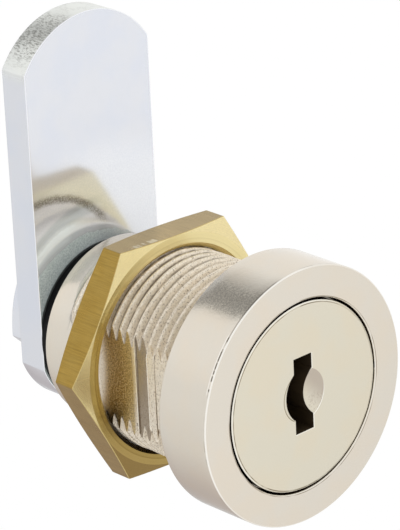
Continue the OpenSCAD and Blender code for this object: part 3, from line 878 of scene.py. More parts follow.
def bright_zinc(name, base, cam, washer_radius):
    """Bright zinc plate: glossy faces, painted highlights on the edges, a sheared tip, and haze, painted
    reflections and painted shade near the barrel.
    """
    finish = Finish(name)
    across, along, up = finish.places
    cloud = finish.spots(4 * MM, 4)
    mottle = finish.spots(0.9 * MM, 3)
    rolled = finish.spots(0.10 * MM, 3, stretch=(1, 1, 0.05))
    grain = finish.spots(0.12 * MM, 3)
    shear = finish.spots(0.13 * MM, 4, 0.7, (1, 0.30, 1))
    side = finish.fall(finish.facing, 0.10, 0.30)
    front = finish.fall(along, cam.front + 0.02 * MM, cam.front + 0.05 * MM)
    front = front * finish.fade(finish.facing, 0.9, 0.97)
    behind = finish.fade(along, cam.front + 0.3 * MM, cam.front + 0.6 * MM) * (1 - side)
    tip = side * finish.fade(up, cam.reach - 5.5 * MM, cam.reach - 3.5 * MM)

    tint = finish.mix(finish.fade(cloud, 0.38, 0.66), base, toned(base, 0.955, 0.97, 1.0))
    # Painted highlight on the rolled edges
    tint = finish.tinted(tint, finish.band(finish.facing, 0.25, 0.97, 0.03) * 0.6, ZINC_EDGE_HIGHLIGHT)
    tint = finish.tinted(tint, tip * 0.6, ZINC_SHEARED)
    dense = finish.fade(finish.spots(1.5 * MM, 3), 0.45, 0.62)
    left = finish.band(across, -6 * MM, -2.5 * MM, 1.2 * MM)
    shear_marks = finish.fade(shear, 0.45, 0.60) * tip * (dense * 0.25 + left * 0.75)
    tint = finish.tinted(tint, shear_marks * 0.75, ZINC_SHEAR_MARK)
    dulled = side * 0.035 + behind * (0.14 - cloud * 0.16)
    tint = finish.shade(tint, 0.955 + cloud * 0.04 + rolled * 0.03 + mottle * 0.015 - dulled)

    speckle = finish.spots(0.16 * MM, 3, 0.65)
    tint, grey_reflection, dullness = zinc_face_haze_and_reflections(finish, tint, front, mottle, speckle)
    # Painted shade on the face under and round the stop washer
    under = finish.fall(finish.radius, washer_radius + 0.15 * MM, washer_radius + 0.3 * MM) * front
    tint = finish.tinted(tint, under * 0.9, ZINC_SHADE_UNDER_WASHER)
    height = rolled * 0.10 + grain * 0.06 + mottle * 0.10 + tip * shear * 2.2
    height = height + (grey_reflection * 0.8 + front * 0.10) * speckle
    rough = 0.09 + grain * 0.03 + cloud * 0.03 + tip * 0.22 + side * 0.05 + grey_reflection * 0.3
    return finish.metal(tint, rough, finish.bump(height, 0.008 * MM, 0.5), 1 - dullness)


def zinc_face_haze_and_reflections(finish, tint, front, mottle, speckle):
    """The face's haze and its painted reflections and shade: a grey ring, a dark band, bright streaks and a
    brown arc. Gives the tint, the grey ring's mask and the face's dullness.
    """
    across, _, up = finish.places
    radius = finish.radius
    to_left = finish.fall(across, -4 * MM, 0)
    border = GREY_REFLECTION_RADIUS - across * GREY_REFLECTION_SLANT + (mottle - 0.5) * 0.5 * MM
    # Painted reflection of the barrel's shaded end: a grey ring round the axis
    grey_reflection = finish.fall(radius - border, -0.10 * MM, 0.10 * MM) * front
    grey_reflection = grey_reflection * finish.fade(across, -2 * MM, 3 * MM, 1, 0.6)
    hazy = finish.fall(radius, 14 * MM, 19 * MM) * front
    inner_haze = finish.fall(radius, 11.2 * MM, 12.6 * MM) * front
    inner_haze = inner_haze * finish.fade(across, -1 * MM, 2 * MM, 1, 0.5)
    tint = finish.mix(hazy * 0.8, tint, finish.speckled(speckle, 0.35, 0.65, *ZINC_HAZE))

    # Painted shadow: a dark band on the face left of the axis
    dark = finish.band(radius, 11.1 * MM, 12.0 * MM, 0.6 * MM) * front * finish.fall(across, -3 * MM, 2 * MM)
    tint = finish.tinted(tint, dark * 0.55, ZINC_PAINTED_SHADOW)
    streak = finish.fade(finish.line_noise(radius + across * 0.2, 1.5 * MM, 1), 0.35, 0.65, 0.6, 1)
    # Painted reflection of the spigot: bright streaks on the face
    bright = finish.band(radius - border, 0.12 * MM, 1.4 * MM, 0.6 * MM) * front * to_left * streak
    tint = finish.tinted(tint, bright * 0.95, ZINC_REFLECTED_SPIGOT)

    from_arc = finish.distance(across - ARC_ACROSS, up - ARC_UP) + (mottle - 0.5) * 0.3 * MM
    arc = finish.band(from_arc, ARC_RADIUS - 0.1 * MM, ARC_RADIUS + 0.1 * MM, 0.5 * MM)
    arc = arc * front * finish.fade(up, 9 * MM, 10.5 * MM)
    # Painted reflection of the shade between the thread and the nut: a speckled brown arc
    tint = finish.tinted(tint, arc * finish.fade(speckle, 0.36, 0.60, 0.28, 0.65), ZINC_REFLECTED_SHADE_ARC)
    # Painted reflection of the barrel's shaded end
    tint = finish.mix(grey_reflection * 0.9, tint, finish.speckled(speckle, 0.35, 0.65, *ZINC_GREY_REFLECTION))
    dullness = (hazy * 0.40).most(front * 0.32).most(inner_haze * 0.65)
    return tint, grey_reflection, dullness.most(grey_reflection * 0.8).most(bright * 0.95)


# Worn paint on the washer's edges, as a screen shows it
RUBBED_BLACK = (0.16, 0.16, 0.165)


def black_paint(name, base):
    """Black paint with a faint orange peel and rubbed edges."""
    finish = Finish(name)
    peel = finish.spots(0.4 * MM, 3)
    rubbed = finish.fade(finish.spots(0.8 * MM, 4, 0.65), 0.62, 0.70)
    tint = finish.tinted(finish.shade(base, 0.8 + peel * 0.4), rubbed * 0.2, RUBBED_BLACK)
    return finish.metal(tint, 0.55 + peel * 0.12, finish.bump(peel, 0.004 * MM, 0.5), 0.0, 0.12)


def wafer_brass(name, base):
    """Stamped brass of the wafers, with fine scratches."""
    finish = Finish(name)
    scratch = finish.spots(0.06 * MM, 3, stretch=(1, 1, 0.1))
    cloud = finish.spots(1.5 * MM, 3)
    tint = finish.mix(finish.fade(cloud, 0.35, 0.7), base, toned(base, 0.94, 0.88, 0.75))
    normal = finish.bump(scratch, 0.004 * MM, 0.5)
    return finish.metal(finish.shade(tint, 0.9 + scratch * 0.12), 0.24 + cloud * 0.1, normal)


def dull_steel(name, base):
    """Plain steel wire, with fine scratches."""
    finish = Finish(name)
    scratch = finish.spots(0.08 * MM, 3, stretch=(1, 0.2, 1))
    cloud = finish.spots(1.5 * MM, 3)
    normal = finish.bump(scratch, 0.004 * MM, 0.5)
    return finish.metal(finish.shade(base, 0.86 + cloud * 0.12 + scratch * 0.06), 0.28 + cloud * 0.12, normal)


def new_piece(name, mesh, material, body, node):
    """Adds a mesh, with its finish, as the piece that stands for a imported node."""
    piece = bpy.data.objects.new(name, mesh)
    bpy.context.scene.collection.objects.link(piece)
    mesh.materials.clear()
    mesh.materials.append(material)
    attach(piece, body)
    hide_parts(node)
    return piece


def shade_by_angle(mesh, degrees):
    """Smooth shading, with plane faces and the edges sharper than the angle kept sharp."""
    mesh.shade_smooth()
    mesh.set_sharp_from_angle(angle=math.radians(degrees))
    for face in mesh.polygons:
        if max(abs(face.normal.x), abs(face.normal.y)) > SQUARE_ON:
            face.use_smooth = False


def smooth_least(first, second, blend):
    """The lesser of two numbers, with the crease between them rounded."""
    h = np.clip(0.5 + 0.5 * (second - first) / blend, 0, 1)
    return second * (1 - h) + first * h - blend * h * (1 - h)


def full_turn(step, *close):
    """Angles once round the axis, in steps of so many degrees, with more of them close to some places."""
    near = [corner + beside for corner in close for beside in BESIDE_CORNERS]
    angles = np.unique(np.round(np.concatenate([np.arange(0, 360, step), np.array(near)]) % 360, 3))
    return np.radians([*angles, angles[0] + 360])


def ring(angles, radius, along):
    """Points round the lock's axis."""
    radius = radius + 0 * angles
    return np.stack([radius * np.sin(angles), along + 0 * angles, radius * np.cos(angles)], axis=-1)


def skin(name, rings):
    """A closed mesh through rings of points. The last ring joins the first."""
    points = np.array(rings)
    rows, columns = points.shape[:2]
    number = np.arange(rows * columns).reshape(rows, columns)
    below = np.roll(number, -1, axis=0)
    faces = np.stack([number[:, :-1], number[:, 1:], below[:, 1:], below[:, :-1]], axis=-1).reshape(-1, 4)
    return closed(name, points.reshape(-1, 3).tolist(), faces.tolist())


def closed(name, points, faces):
    """A mesh whose points that meet are joined and whose faces all look outwards."""
    mesh = bpy.data.meshes.new(name)
    mesh.from_pydata(points, [], faces)
    sheet = bmesh.new()
    sheet.from_mesh(mesh)
    bmesh.ops.remove_doubles(sheet, verts=sheet.verts, dist=MERGE_DISTANCE)
    bmesh.ops.dissolve_degenerate(sheet, edges=sheet.edges, dist=MERGE_DISTANCE / 10)
    loose = [edge for edge in sheet.edges if not edge.link_faces]
    bmesh.ops.delete(sheet, geom=loose, context="EDGES")
    bmesh.ops.recalc_face_normals(sheet, faces=sheet.faces)
    sheet.to_mesh(mesh)
    sheet.free()
    return mesh


def moved_out(outline, distance):
    """A closed outline of [across, up] points, clockwise from the key side, moved outwards by a distance."""
    before = np.roll(outline, 1, axis=0)
    after = np.roll(outline, -1, axis=0)
    normals = []
    for step in (outline - before, after - outline):
        step = step / np.maximum(np.linalg.norm(step, axis=1, keepdims=True), 1e-12)
        normals.append(np.stack([-step[:, 1], step[:, 0]], axis=-1))
    first, second = normals
    reach = 1 + np.sum(first * second, axis=1, keepdims=True)
    return outline + distance * (first + second) / np.maximum(reach, 0.2)


def prism(name, outline, stations):
    """A solid along the axis, from an outline and stations of (place, how far the outline moves out)."""
    points, faces = [], []
    count = len(outline)
    for along, out in stations:
        points += [(x, along, z) for x, z in moved_out(outline, out).tolist()]
    for row in range(len(stations) - 1):
        here, there = row * count, (row + 1) * count
        for k in range(count):
            following = (k + 1) % count
            faces.append((here + k, here + following, there + following, there + k))
    faces.append(tuple(range(count)))
    faces.append(tuple(range(len(points) - 1, len(points) - 1 - count, -1)))
    return closed(name, points, faces)


def box_mesh(name, boxes):
    """Separate boxes in one mesh, each from its lowest and highest corner."""
    points, faces = [], []
    for low, high in boxes:
        start = len(points)
        points += [(x, y, z) for x in (low[0], high[0]) for y in (low[1], high[1]) for z in (low[2], high[2])]
        for face in ((0, 1, 3, 2), (4, 6, 7, 5), (0, 4, 5, 1), (2, 3, 7, 6), (0, 2, 6, 4), (1, 5, 7, 3)):
            faces.append(tuple(start + k for k in face))
    return closed(name, points, faces)


def cut_away(mesh, cutters):
    """Cuts solids out of a solid."""
    objects = [bpy.data.objects.new(m.name, m) for m in (mesh, *cutters)]
    for item in objects:
        bpy.context.scene.collection.objects.link(item)
    solid = objects[0]
    for cutter in objects[1:]:
        cut = solid.modifiers.new(cutter.name, "BOOLEAN")
        cut.operation = "DIFFERENCE"
        cut.solver = "EXACT"
        cut.object = cutter
    graph = bpy.context.evaluated_depsgraph_get()
    result = bpy.data.meshes.new_from_object(solid.evaluated_get(graph))
    result.name = mesh.name
    for item in objects:
        spare = item.data
        bpy.data.objects.remove(item)
        bpy.data.meshes.remove(spare)
    if not result.polygons:
        raise RuntimeError("a cut left nothing of the solid")
    return result


def hexagon_radius(angles, width, turn):
    """Distance from the axis to a hexagon with slightly rounded corners, at each angle."""
    side = math.radians(60)
    off = (angles - turn) % side - side / 2
    here = (width / 2) / np.cos(off)
    next_side = (width / 2) / np.cos(side - np.abs(off))
    return smooth_least(here, next_side, HEXAGON_CORNER)


def thread_radius(barrel, angles, along):
    """Radius of the helical thread, whose cast flanks are eased and whose crests wander a little."""
    phase = (along - barrel.lead) / barrel.pitch - angles / math.tau
    off_crest = np.abs(phase - np.round(phase)) * barrel.pitch
    flank = (barrel.pitch - barrel.crest - barrel.root) / 2
    ramp = np.clip((off_crest - barrel.crest / 2) / flank, 0, 1)
    ramp = 0.6 * ramp + 0.4 * ramp * ramp * (3 - 2 * ramp)
    wander = 0.016 * MM * np.sin(angles * 7 + along / MM * 1.9)
    wander = wander + 0.010 * MM * np.sin(angles * 17 - along / MM * 3.1)
    thread = barrel.thread_radius - CREST_EASE - barrel.depth * ramp + wander * (1 - ramp)
    run_in = np.clip((along - barrel.start) / (0.6 * MM), 0, 1)
    thread = barrel.neck_radius * (1 - run_in) + thread * run_in
    run_out = np.clip((along - barrel.flat_end + 0.25 * MM) / (0.24 * MM), 0, 1)
    return thread * (1 - run_out) + (barrel.thread_radius - CREST_EASE) * run_out


def fillet(centre, radius, start, finish, steps):
    """Points (radius, place) of a rounding, from one angle to another in degrees."""
    turns = np.radians(np.linspace(start, finish, steps))
    return [(centre[0] + radius * math.cos(t), centre[1] + radius * math.sin(t)) for t in turns]


def groove_radius(barrel, angles):
    """Radius of the bore with its four wafer grooves."""
    side, up = np.maximum(np.abs(np.sin(angles)), 1e-9), np.maximum(np.abs(np.cos(angles)), 1e-9)
    upright = np.minimum(barrel.groove_half / side, barrel.groove_reach / up)
    level = np.minimum(barrel.groove_half / up, barrel.groove_reach / side)
    return np.maximum(np.maximum(upright, level), barrel.bore_radius)


def groove_corners(barrel):
    """The angles, in degrees, at which the bore's section has its corners."""
    outer = math.degrees(math.atan2(barrel.groove_half, barrel.groove_reach))
    inner = math.degrees(math.asin(barrel.groove_half / barrel.bore_radius))
    quarter = (outer, inner, 90 - outer, 90 - inner)
    return [(s * a + t) % 360 for a in quarter for s, t in ((1, 0), (-1, 180), (1, 180), (-1, 360))]


def flat_corners(barrel, crest_radius):
    """The angles, in degrees, at which the flats cross the last crest and the spigot."""
    radii = (crest_radius, barrel.spigot_radius)
    crossings = [math.degrees(math.asin(barrel.flat / radius)) for radius in radii]
    return [t for a in crossings for t in (a, 180 - a, 180 + a, 360 - a)]


def head_outline(head, barrel):
    """The head's section as (radius, place), from the recess's floor round the outside to the thread."""
    edge, rim = head.recess_edge, head.rim
    mouth = head.recess_radius + edge
    face_width = head.radius - rim - head.recess_radius - edge
    floor_corner = 0.05 * MM
    neck_corner = 0.1 * MM
    return [
        (head.recess_radius - floor_corner, head.recess_floor),
        (head.recess_radius, head.recess_floor - floor_corner),
        (head.recess_radius, head.face + edge),
        (mouth, head.face),
        *[(mouth + face_width * k, head.face) for k in (0.3, 0.7)],
        *fillet((head.radius - rim, head.face + rim), rim, -90, 0, 6),
        *[(head.radius, head.face * k) for k in (0.8, 0.5, 0.2)],
        *fillet((head.radius - rim, -rim), rim, 0, 90, 6),
        (barrel.neck_radius + neck_corner, 0),
        (barrel.neck_radius, neck_corner),
        (barrel.neck_radius, barrel.start),
    ]


def thread_rings(barrel, angles, last_row):
    """Rings that follow the helix, held between the thread's start and its last row."""
    rings = []
    first = math.floor((barrel.start - barrel.lead) / barrel.pitch) - 1
    last = math.ceil((barrel.flat_end - barrel.lead) / barrel.pitch)
    for turn in range(first, last + 1):
        for row in THREAD_ROWS:
            along = barrel.lead + (turn + row) * barrel.pitch + angles / math.tau * barrel.pitch
            if along.max() > barrel.start and along.min() < last_row:
                along = np.clip(along, barrel.start, last_row)
                rings.append(ring(angles, thread_radius(barrel, angles, along), along))
    return rings


def last_crest_rings(barrel, angles, crest_radius, last_row):
    """The thread's broad last crest, which the flats cut down to the spigot."""
    end = barrel.flat_end + barrel.last_crest
    chamfer = 0.08 * MM
    flat_here = barrel.flat / np.maximum(np.abs(np.sin(angles)), 1e-6)
    crest = np.maximum(np.minimum(crest_radius, flat_here), barrel.spigot_radius)
    return [
        ring(angles, crest_radius, last_row),
        ring(angles, crest, last_row),
        ring(angles, crest, end - chamfer),
        ring(angles, np.maximum(crest - chamfer, barrel.spigot_radius), end),
    ]


def spigot_outline(barrel):
    """The plain spigot's section as (radius, place), from the last crest to the rear face."""
    crest_end = barrel.flat_end + barrel.last_crest
    edge = barrel.rear_edge
    lug_ring = 7.6 * MM
    return [
        (barrel.spigot_radius, crest_end + 0.05 * MM),
        *[(barrel.spigot_radius, crest_end + (barrel.rear - crest_end) * k) for k in (0.4, 0.8)],
        *fillet((barrel.spigot_radius - edge, barrel.rear - edge), edge, 0, 90, 5),
        (lug_ring, barrel.rear),
    ]


def housing_mesh(head, barrel):
    """The die-cast housing: rings round the outside and back through the bore, and then the two flats."""
    crest_radius = barrel.thread_radius - CREST_EASE
    last_row = barrel.flat_end - 0.005 * MM
    corners = [*groove_corners(barrel), *flat_corners(barrel, crest_radius)]
    angles = np.unique(np.round(np.concatenate([np.arange(0, 360, 2.0), corners]), 4))
    angles = np.radians([*angles, angles[0] + 360])
    grooves = groove_radius(barrel, angles)
    rings = [
        ring(angles, barrel.bore_radius, head.recess_floor),
        *[ring(angles, radius, along) for radius, along in head_outline(head, barrel)],
        *thread_rings(barrel, angles, last_row),
        *last_crest_rings(barrel, angles, crest_radius, last_row),
        *[ring(angles, radius, along) for radius, along in spigot_outline(barrel)],
        ring(angles, grooves, barrel.rear),
        ring(angles, grooves, barrel.groove_start),
        ring(angles, barrel.bore_radius, barrel.groove_start),
    ]
    return cut_away(skin("housing_cast", rings), [flat_cutter(barrel, side) for side in (-1, 1)])


def flat_cutter(barrel, side):
    """What the flat on one side cuts away: full depth behind, shallower with two marks next to the head."""
    full, ridge = barrel.full_flat, barrel.ridge
    start, step = 0.001 * MM, 0.02 * MM
    mark = barrel.front_flat - barrel.mark
    profile = [
        (start, barrel.front_flat),
        (barrel.narrow_mark - step, barrel.front_flat),
        (barrel.narrow_mark, mark),
        (barrel.narrow_mark + ridge, mark),
        (barrel.narrow_mark + ridge + step, barrel.front_flat),
        (barrel.broad_mark - step, barrel.front_flat),
        (barrel.broad_mark, mark),
        (full - ridge - step, mark),
        (full - ridge, barrel.front_flat),
        (full, barrel.front_flat),
        (full + step, barrel.flat),
        (barrel.flat_end, barrel.flat),
    ]
    far = barrel.thread_radius + MM
    reach = barrel.thread_radius
    count = len(profile) + 2
    section = [(side * x, y) for y, x in profile]
    section += [(side * far, barrel.flat_end), (side * far, start)]
    points = [(x, y, z) for z in (-reach, reach) for x, y in section]
    faces = [(k, (k + 1) % count, count + (k + 1) % count, count + k) for k in range(count)]
    faces += [tuple(range(count)), tuple(range(2 * count - 1, count - 1, -1))]
    return closed("flat_cutter", points, faces)


def add_stop_lugs(mesh, cad_mesh, rear):
    """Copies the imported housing's stop lugs behind the barrel, and closes them inside the rear wall."""
    above, sunk = 0.02 * MM, 0.05 * MM
    lugs = bmesh.new()
    lugs.from_mesh(cad_mesh)
    bmesh.ops.remove_doubles(lugs, verts=lugs.verts, dist=MERGE_DISTANCE)
    everything = lugs.verts[:] + lugs.edges[:] + lugs.faces[:]
    cut = bmesh.ops.bisect_plane(
        lugs, geom=everything, plane_co=(0, rear + above, 0), plane_no=(0, 1, 0), clear_inner=True
    )
    rim = [item for item in cut["geom_cut"] if isinstance(item, bmesh.types.BMEdge)]
    walls = bmesh.ops.extrude_edge_only(lugs, edges=rim)["geom"]
    for vertex in (item for item in walls if isinstance(item, bmesh.types.BMVert)):
        vertex.co.y = rear - sunk
    spare = bpy.data.meshes.new("stop_lugs")
    lugs.to_mesh(spare)
    lugs.free()
    whole = bmesh.new()
    whole.from_mesh(mesh)
    whole.from_mesh(spare)
    whole.to_mesh(mesh)
    whole.free()
    bpy.data.meshes.remove(spare)


def keyway_outline(keyway):
    """The keyway's section: straight ends and a middle that bows to -X in two equal arcs."""
    half, tall, bend = keyway.width / 2, keyway.height / 2, keyway.bow_height / 2
    radius = (bend**2 + keyway.bow**2) / (2 * keyway.bow)
    reach = math.asin(bend / radius)
    centre = -half - keyway.bow + radius
    left = [(centre - radius * math.cos(t), radius * math.sin(t)) for t in np.linspace(-reach, reach, 25)]
    right = [(x + keyway.width, z) for x, z in reversed(left)]
    outline = [(-half, -tall), *left, (-half, tall), (half, tall), *right, (half, -tall)]
    return np.array(outline) + np.array((0, keyway.rise))


def square_radius(angles, half, corner_radius):
    """Distance from the axis to a square with rounded corners."""
    side, up = np.abs(np.sin(angles)), np.abs(np.cos(angles))
    return np.minimum(half / np.maximum(side, up), corner_radius)


def square_corners(half, corner_radius):
    """The angles, in degrees, at which the square's rounded corners start and end."""
    first = math.degrees(math.acos(half / corner_radius))
    return [t + a for t in (0, 90, 180, 270) for a in (first, 90 - first)]


def plug_mesh(plug, keyway):
    """The turning plug with its square tail, cut by the keyway, the dimple, the slots and the tapped hole."""
    half = plug.square / 2
    angles = full_turn(2.0, *square_corners(half, plug.square_corner))
    square = square_radius(angles, half, plug.square_corner)
    outline = [
        (0, plug.face),
        (plug.flange_radius * 0.8, plug.face),
        (plug.flange_radius - plug.edge, plug.face),
        (plug.flange_radius, plug.face + plug.edge),
        (plug.flange_radius, plug.flange_rear),
        (plug.radius, plug.flange_rear),
        (plug.radius, plug.shoulder),
    ]
    outline += [(square, plug.shoulder), (square, plug.tail), (0, plug.tail)]
    solid = skin("plug_turned", [ring(angles, radius, along) for radius, along in outline])
    mouth = [
        (plug.face - 0.4 * MM, keyway.mouth),
        (plug.face, keyway.mouth),
        (plug.face + keyway.mouth, 0),
        (keyway.end, 0),
    ]
    cutters = [prism("keyway_cutter", keyway_outline(keyway), mouth), dimple_mesh(plug, keyway)]
    cutters += slot_cutters(plug)
    around = full_turn(6.0)
    outside = plug.tail + MM
    hole = [(0, plug.hole_end), (plug.hole_radius, plug.hole_end), (plug.hole_radius, outside), (0, outside)]
    cutters.append(skin("hole_cutter", [ring(around, radius, along) for radius, along in hole]))
    return cut_away(solid, cutters)


def dimple_mesh(plug, keyway):
    """What the dimple cuts away: part of a ball with an eased lip."""
    around = full_turn(3.0)
    radius = (keyway.dimple_radius**2 + keyway.dimple_depth**2) / (2 * keyway.dimple_depth)
    edge = math.asin(keyway.dimple_radius / radius)
    centre = plug.face + keyway.dimple_depth - radius
    turns = np.linspace(0, edge * 0.985, 16)
    outline = [(radius * math.sin(t), centre + radius * math.cos(t)) for t in turns]
    lip = keyway.dimple_radius + keyway.dimple_lip
    outline += [(lip, plug.face), (lip + 0.2 * MM, plug.face - 0.2 * MM), (0, plug.face - 0.4 * MM)]
    mesh = skin("dimple_cutter", [ring(around, r, along) for r, along in outline])
    mesh.transform(Matrix.Translation((0, 0, keyway.dimple_rise)))
    return mesh


def slot_cutters(plug):
    """What the wafers and their springs need: a slot each, room for the side lug, and a round pocket."""
    pitch = (plug.slot_end - plug.slot_start) / len(WAFERS)
    half, tall = plug.slot_width / 2, plug.radius + MM
    thick = plug.slot_thickness / 2
    room = thick * 0.98
    slots, rooms = [], []
    pockets = bmesh.new()
    for index in range(len(WAFERS)):
        along = plug.slot_start + (index + 0.5) * pitch
        turned = 1 if index % 2 == 0 else -1
        slots.append(((-half, along - thick, -tall), (half, along + thick, tall)))
        ends = sorted((0, turned * (plug.pocket_offset + plug.pocket_radius)))
        heights = sorted((turned * 0.4 * MM, turned * tall))
        rooms.append(((ends[0], along - room, heights[0]), (ends[1], along + room, heights[1])))
        middle = turned * (0.5 * MM - plug.pocket_depth) / 2
        spot = Matrix.Translation((turned * plug.pocket_offset, along, middle))
        bmesh.ops.create_cone(
            pockets,
            cap_ends=True,
            segments=24,
            radius1=plug.pocket_radius,
            radius2=plug.pocket_radius,
            depth=plug.pocket_depth + 0.5 * MM,
            matrix=spot,
        )
    pocket_mesh = bpy.data.meshes.new("pocket_cutter")
    pockets.to_mesh(pocket_mesh)
    pockets.free()
    return [box_mesh("slot_cutter", slots), box_mesh("lug_cutter", rooms), pocket_mesh]


def turned_hexagon(piece, width, step):
    """A hexagon with turned corners: angles, radii, the flat ring, the bevel and the slope of the chamfer."""
    angles = full_turn(step, *[math.degrees(piece.turn) + 60 * k for k in range(6)])
    hexagon = hexagon_radius(angles, width, piece.turn)
    flat_ring = width / 2 - piece.ring_inset
    bevel = np.maximum(hexagon - piece.edge, flat_ring + 0.002 * MM)
    return angles, hexagon, flat_ring, bevel, piece.chamfer / (width / math.sqrt(3) - flat_ring)


def nut_mesh(nut):
    """The hex nut: turned chamfers, a flat ring and a countersink on both faces, and broken edges."""
    angles, hexagon, flat_ring, bevel, slope = turned_hexagon(nut, nut.width, 2.5)
    edge = nut.edge
    mouth = nut.bore_radius + nut.countersink
    half = [
        (nut.bore_radius, nut.countersink),
        (mouth - edge * 0.5, edge * 0.5),
        (mouth + edge * 0.3, 0),
        ((mouth + flat_ring) / 2, 0),
        (flat_ring, 0),
        ((flat_ring + bevel) / 2, ((flat_ring + bevel) / 2 - flat_ring) * slope),
        (bevel, (bevel - flat_ring) * slope),
        (hexagon, (hexagon - flat_ring) * slope + edge),
    ]
    front = [ring(angles, radius, nut.front + depth) for radius, depth in half]
    rear = [ring(angles, radius, nut.front + nut.thickness - depth) for radius, depth in reversed(half)]
    middle = ring(angles, hexagon, nut.front + nut.thickness / 2)
    return skin("hex_nut_machined", [*front, middle, *rear])


def screw_mesh(screw):
    """The cam's screw: a hexagonal head with turned corners, and its shank."""
    angles, hexagon, flat_ring, bevel, slope = turned_hexagon(screw, screw.head_width, 4.0)
    edge = screw.edge
    rear = screw.head_front + screw.head_height
    tip_chamfer = 0.4 * MM
    sunk = rear - 0.08 * MM
    outline = [
        (0, screw.tip),
        (screw.radius - tip_chamfer, screw.tip),
        (screw.radius, screw.tip + tip_chamfer),
        (screw.radius, screw.head_front),
        (hexagon - edge, screw.head_front),
        (hexagon, screw.head_front + edge),
        (hexagon, (screw.head_front + rear) / 2),
        (hexagon, rear - (hexagon - flat_ring) * slope - edge),
        (bevel, rear - (bevel - flat_ring) * slope),
        (flat_ring, rear),
        (flat_ring * 0.82, rear),
        (flat_ring * 0.72, sunk),
        (0, sunk),
    ]
    return skin("cam_screw_headed", [ring(angles, radius, along) for radius, along in outline])


def cam_outline(cam):
    """The cam's outline as [across, up] points, clockwise as the key side sees it from the top."""
    half = cam.width / 2
    tip_middle = cam.reach - cam.tip_radius
    tail_middle = cam.tail_radius - cam.tail
    tip_reach = math.asin(half / cam.tip_radius)
    tail_reach = math.asin(half / cam.tail_radius)
    turns = np.linspace(0, tip_reach, 40)
    tip = [(cam.tip_radius * math.sin(t), tip_middle + cam.tip_radius * math.cos(t)) for t in turns]
    turns = np.linspace(tail_reach, 0, 40)
    tail = [(cam.tail_radius * math.sin(t), tail_middle - cam.tail_radius * math.cos(t)) for t in turns]
    top, bottom = tip[-1][1], tail[0][1]
    side = [(half, top + (bottom - top) * k) for k in np.linspace(0, 1, 22)[1:-1]]
    right = tip + side + tail
    left = [(-x, z) for x, z in reversed(right[1:-1])]
    return np.array(right + left)


def cam_mesh(cam):
    """The flat cam with rolled edges and its square hole."""
    outline = cam_outline(cam)
    angles = np.arctan2(outline[:, 0], outline[:, 1])
    hole = square_radius(angles, cam.hole / 2, cam.hole_corner)
    hole_outline = np.stack([hole * np.sin(angles), hole * np.cos(angles)], axis=-1)
    rear = cam.front + cam.thickness
    edge = cam.edge

    def level(points, along):
        """The outline's points at one place along the axis, with the first again at the end."""
        points = np.concatenate([points, points[:1]])
        return np.stack([points[:, 0], along + 0 * points[:, 0], points[:, 1]], axis=-1)

    hole_edge = 0.06 * MM
    hole_mouth = hole_outline * (1 + hole_edge / cam.hole_corner)
    rings = [level(hole_outline, cam.front + hole_edge), level(hole_mouth, cam.front)]
    turns = np.radians((0, 22, 45, 68, 90))
    for t in turns:
        eased = moved_out(outline, edge * (math.sin(t) - 1))
        rings.append(level(eased, cam.front + edge * (1 - math.cos(t))))
    for t in turns:
        eased = moved_out(outline, edge * (math.cos(t) - 1))
        rings.append(level(eased, rear - edge * (1 - math.sin(t))))
    rings.append(level(hole_outline, rear))
    return skin("cam_stamped", rings)


def settings():
    """The cam lock's settings in the open scene."""
    return bpy.context.scene.cam_lock


class CAMLOCK_OT_housing(bpy.types.Operator):
    """Build the die-cast housing with its helical thread and stepped flats"""

    bl_idname = "cam_lock.housing"
    bl_label = "Housing"

    def execute(self, context):
        head, barrel, colours = settings().head, settings().barrel, settings().colours
        mesh = housing_mesh(head, barrel)
        add_stop_lugs(mesh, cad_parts["housing"].data, barrel.rear)
        shade_by_angle(mesh, 34)
        finish = cast_nickel(head, barrel, linear(colours.nickel), linear(colours.cast))
        new_piece("housing_cast", mesh, finish, "lock_body", "housing")
        return {"FINISHED"}


class CAMLOCK_OT_plug(bpy.types.Operator):
    """Build the turning plug with its dimple and its bowed keyway"""

    bl_idname = "cam_lock.plug"
    bl_label = "Plug"

    def execute(self, context):
        plug, keyway = settings().plug, settings().keyway
        mesh = plug_mesh(plug, keyway)
        shade_by_angle(mesh, 16)
        finish = satin_nickel("plug_nickel_plate", linear(settings().colours.plug), plug, keyway)
        new_piece("plug_turned", mesh, finish, "plug_and_cam", "plug")
        return {"FINISHED"}


class CAMLOCK_OT_hex_nut(bpy.types.Operator):
    """Build the machined brass nut"""

    bl_idname = "cam_lock.hex_nut"
    bl_label = "Hex nut"

    def execute(self, context):
        nut, colours = settings().nut, settings().colours
        mesh = nut_mesh(nut)
        shade_by_angle(mesh, 22)
        drawn, turned = linear(colours.drawn_brass), linear(colours.turned_brass)
        finish = machined_brass("nut_plain_brass", drawn, turned, nut)
        new_piece("hex_nut_machined", mesh, finish, "nut", "hex_nut")
        return {"FINISHED"}


class CAMLOCK_OT_cam(bpy.types.Operator):
    """Build the stamped cam and its hexagon screw"""

    bl_idname = "cam_lock.cam"
    bl_label = "Cam and screw"

    def execute(self, context):
        cam, screw, zinc = settings().cam, settings().screw, linear(settings().colours.zinc)
        for name, mesh, slot, node in (
            ("cam_stamped", cam_mesh(cam), "cam_zinc", "cam"),
            ("cam_screw_headed", screw_mesh(screw), "screw_zinc", "cam_screw"),
        ):
            shade_by_angle(mesh, 30)
            finish = bright_zinc(f"{name}_zinc_plate", zinc, cam, settings().plug.washer_radius)
            new_piece(name, mesh, finish, "plug_and_cam", node)
        return {"FINISHED"}


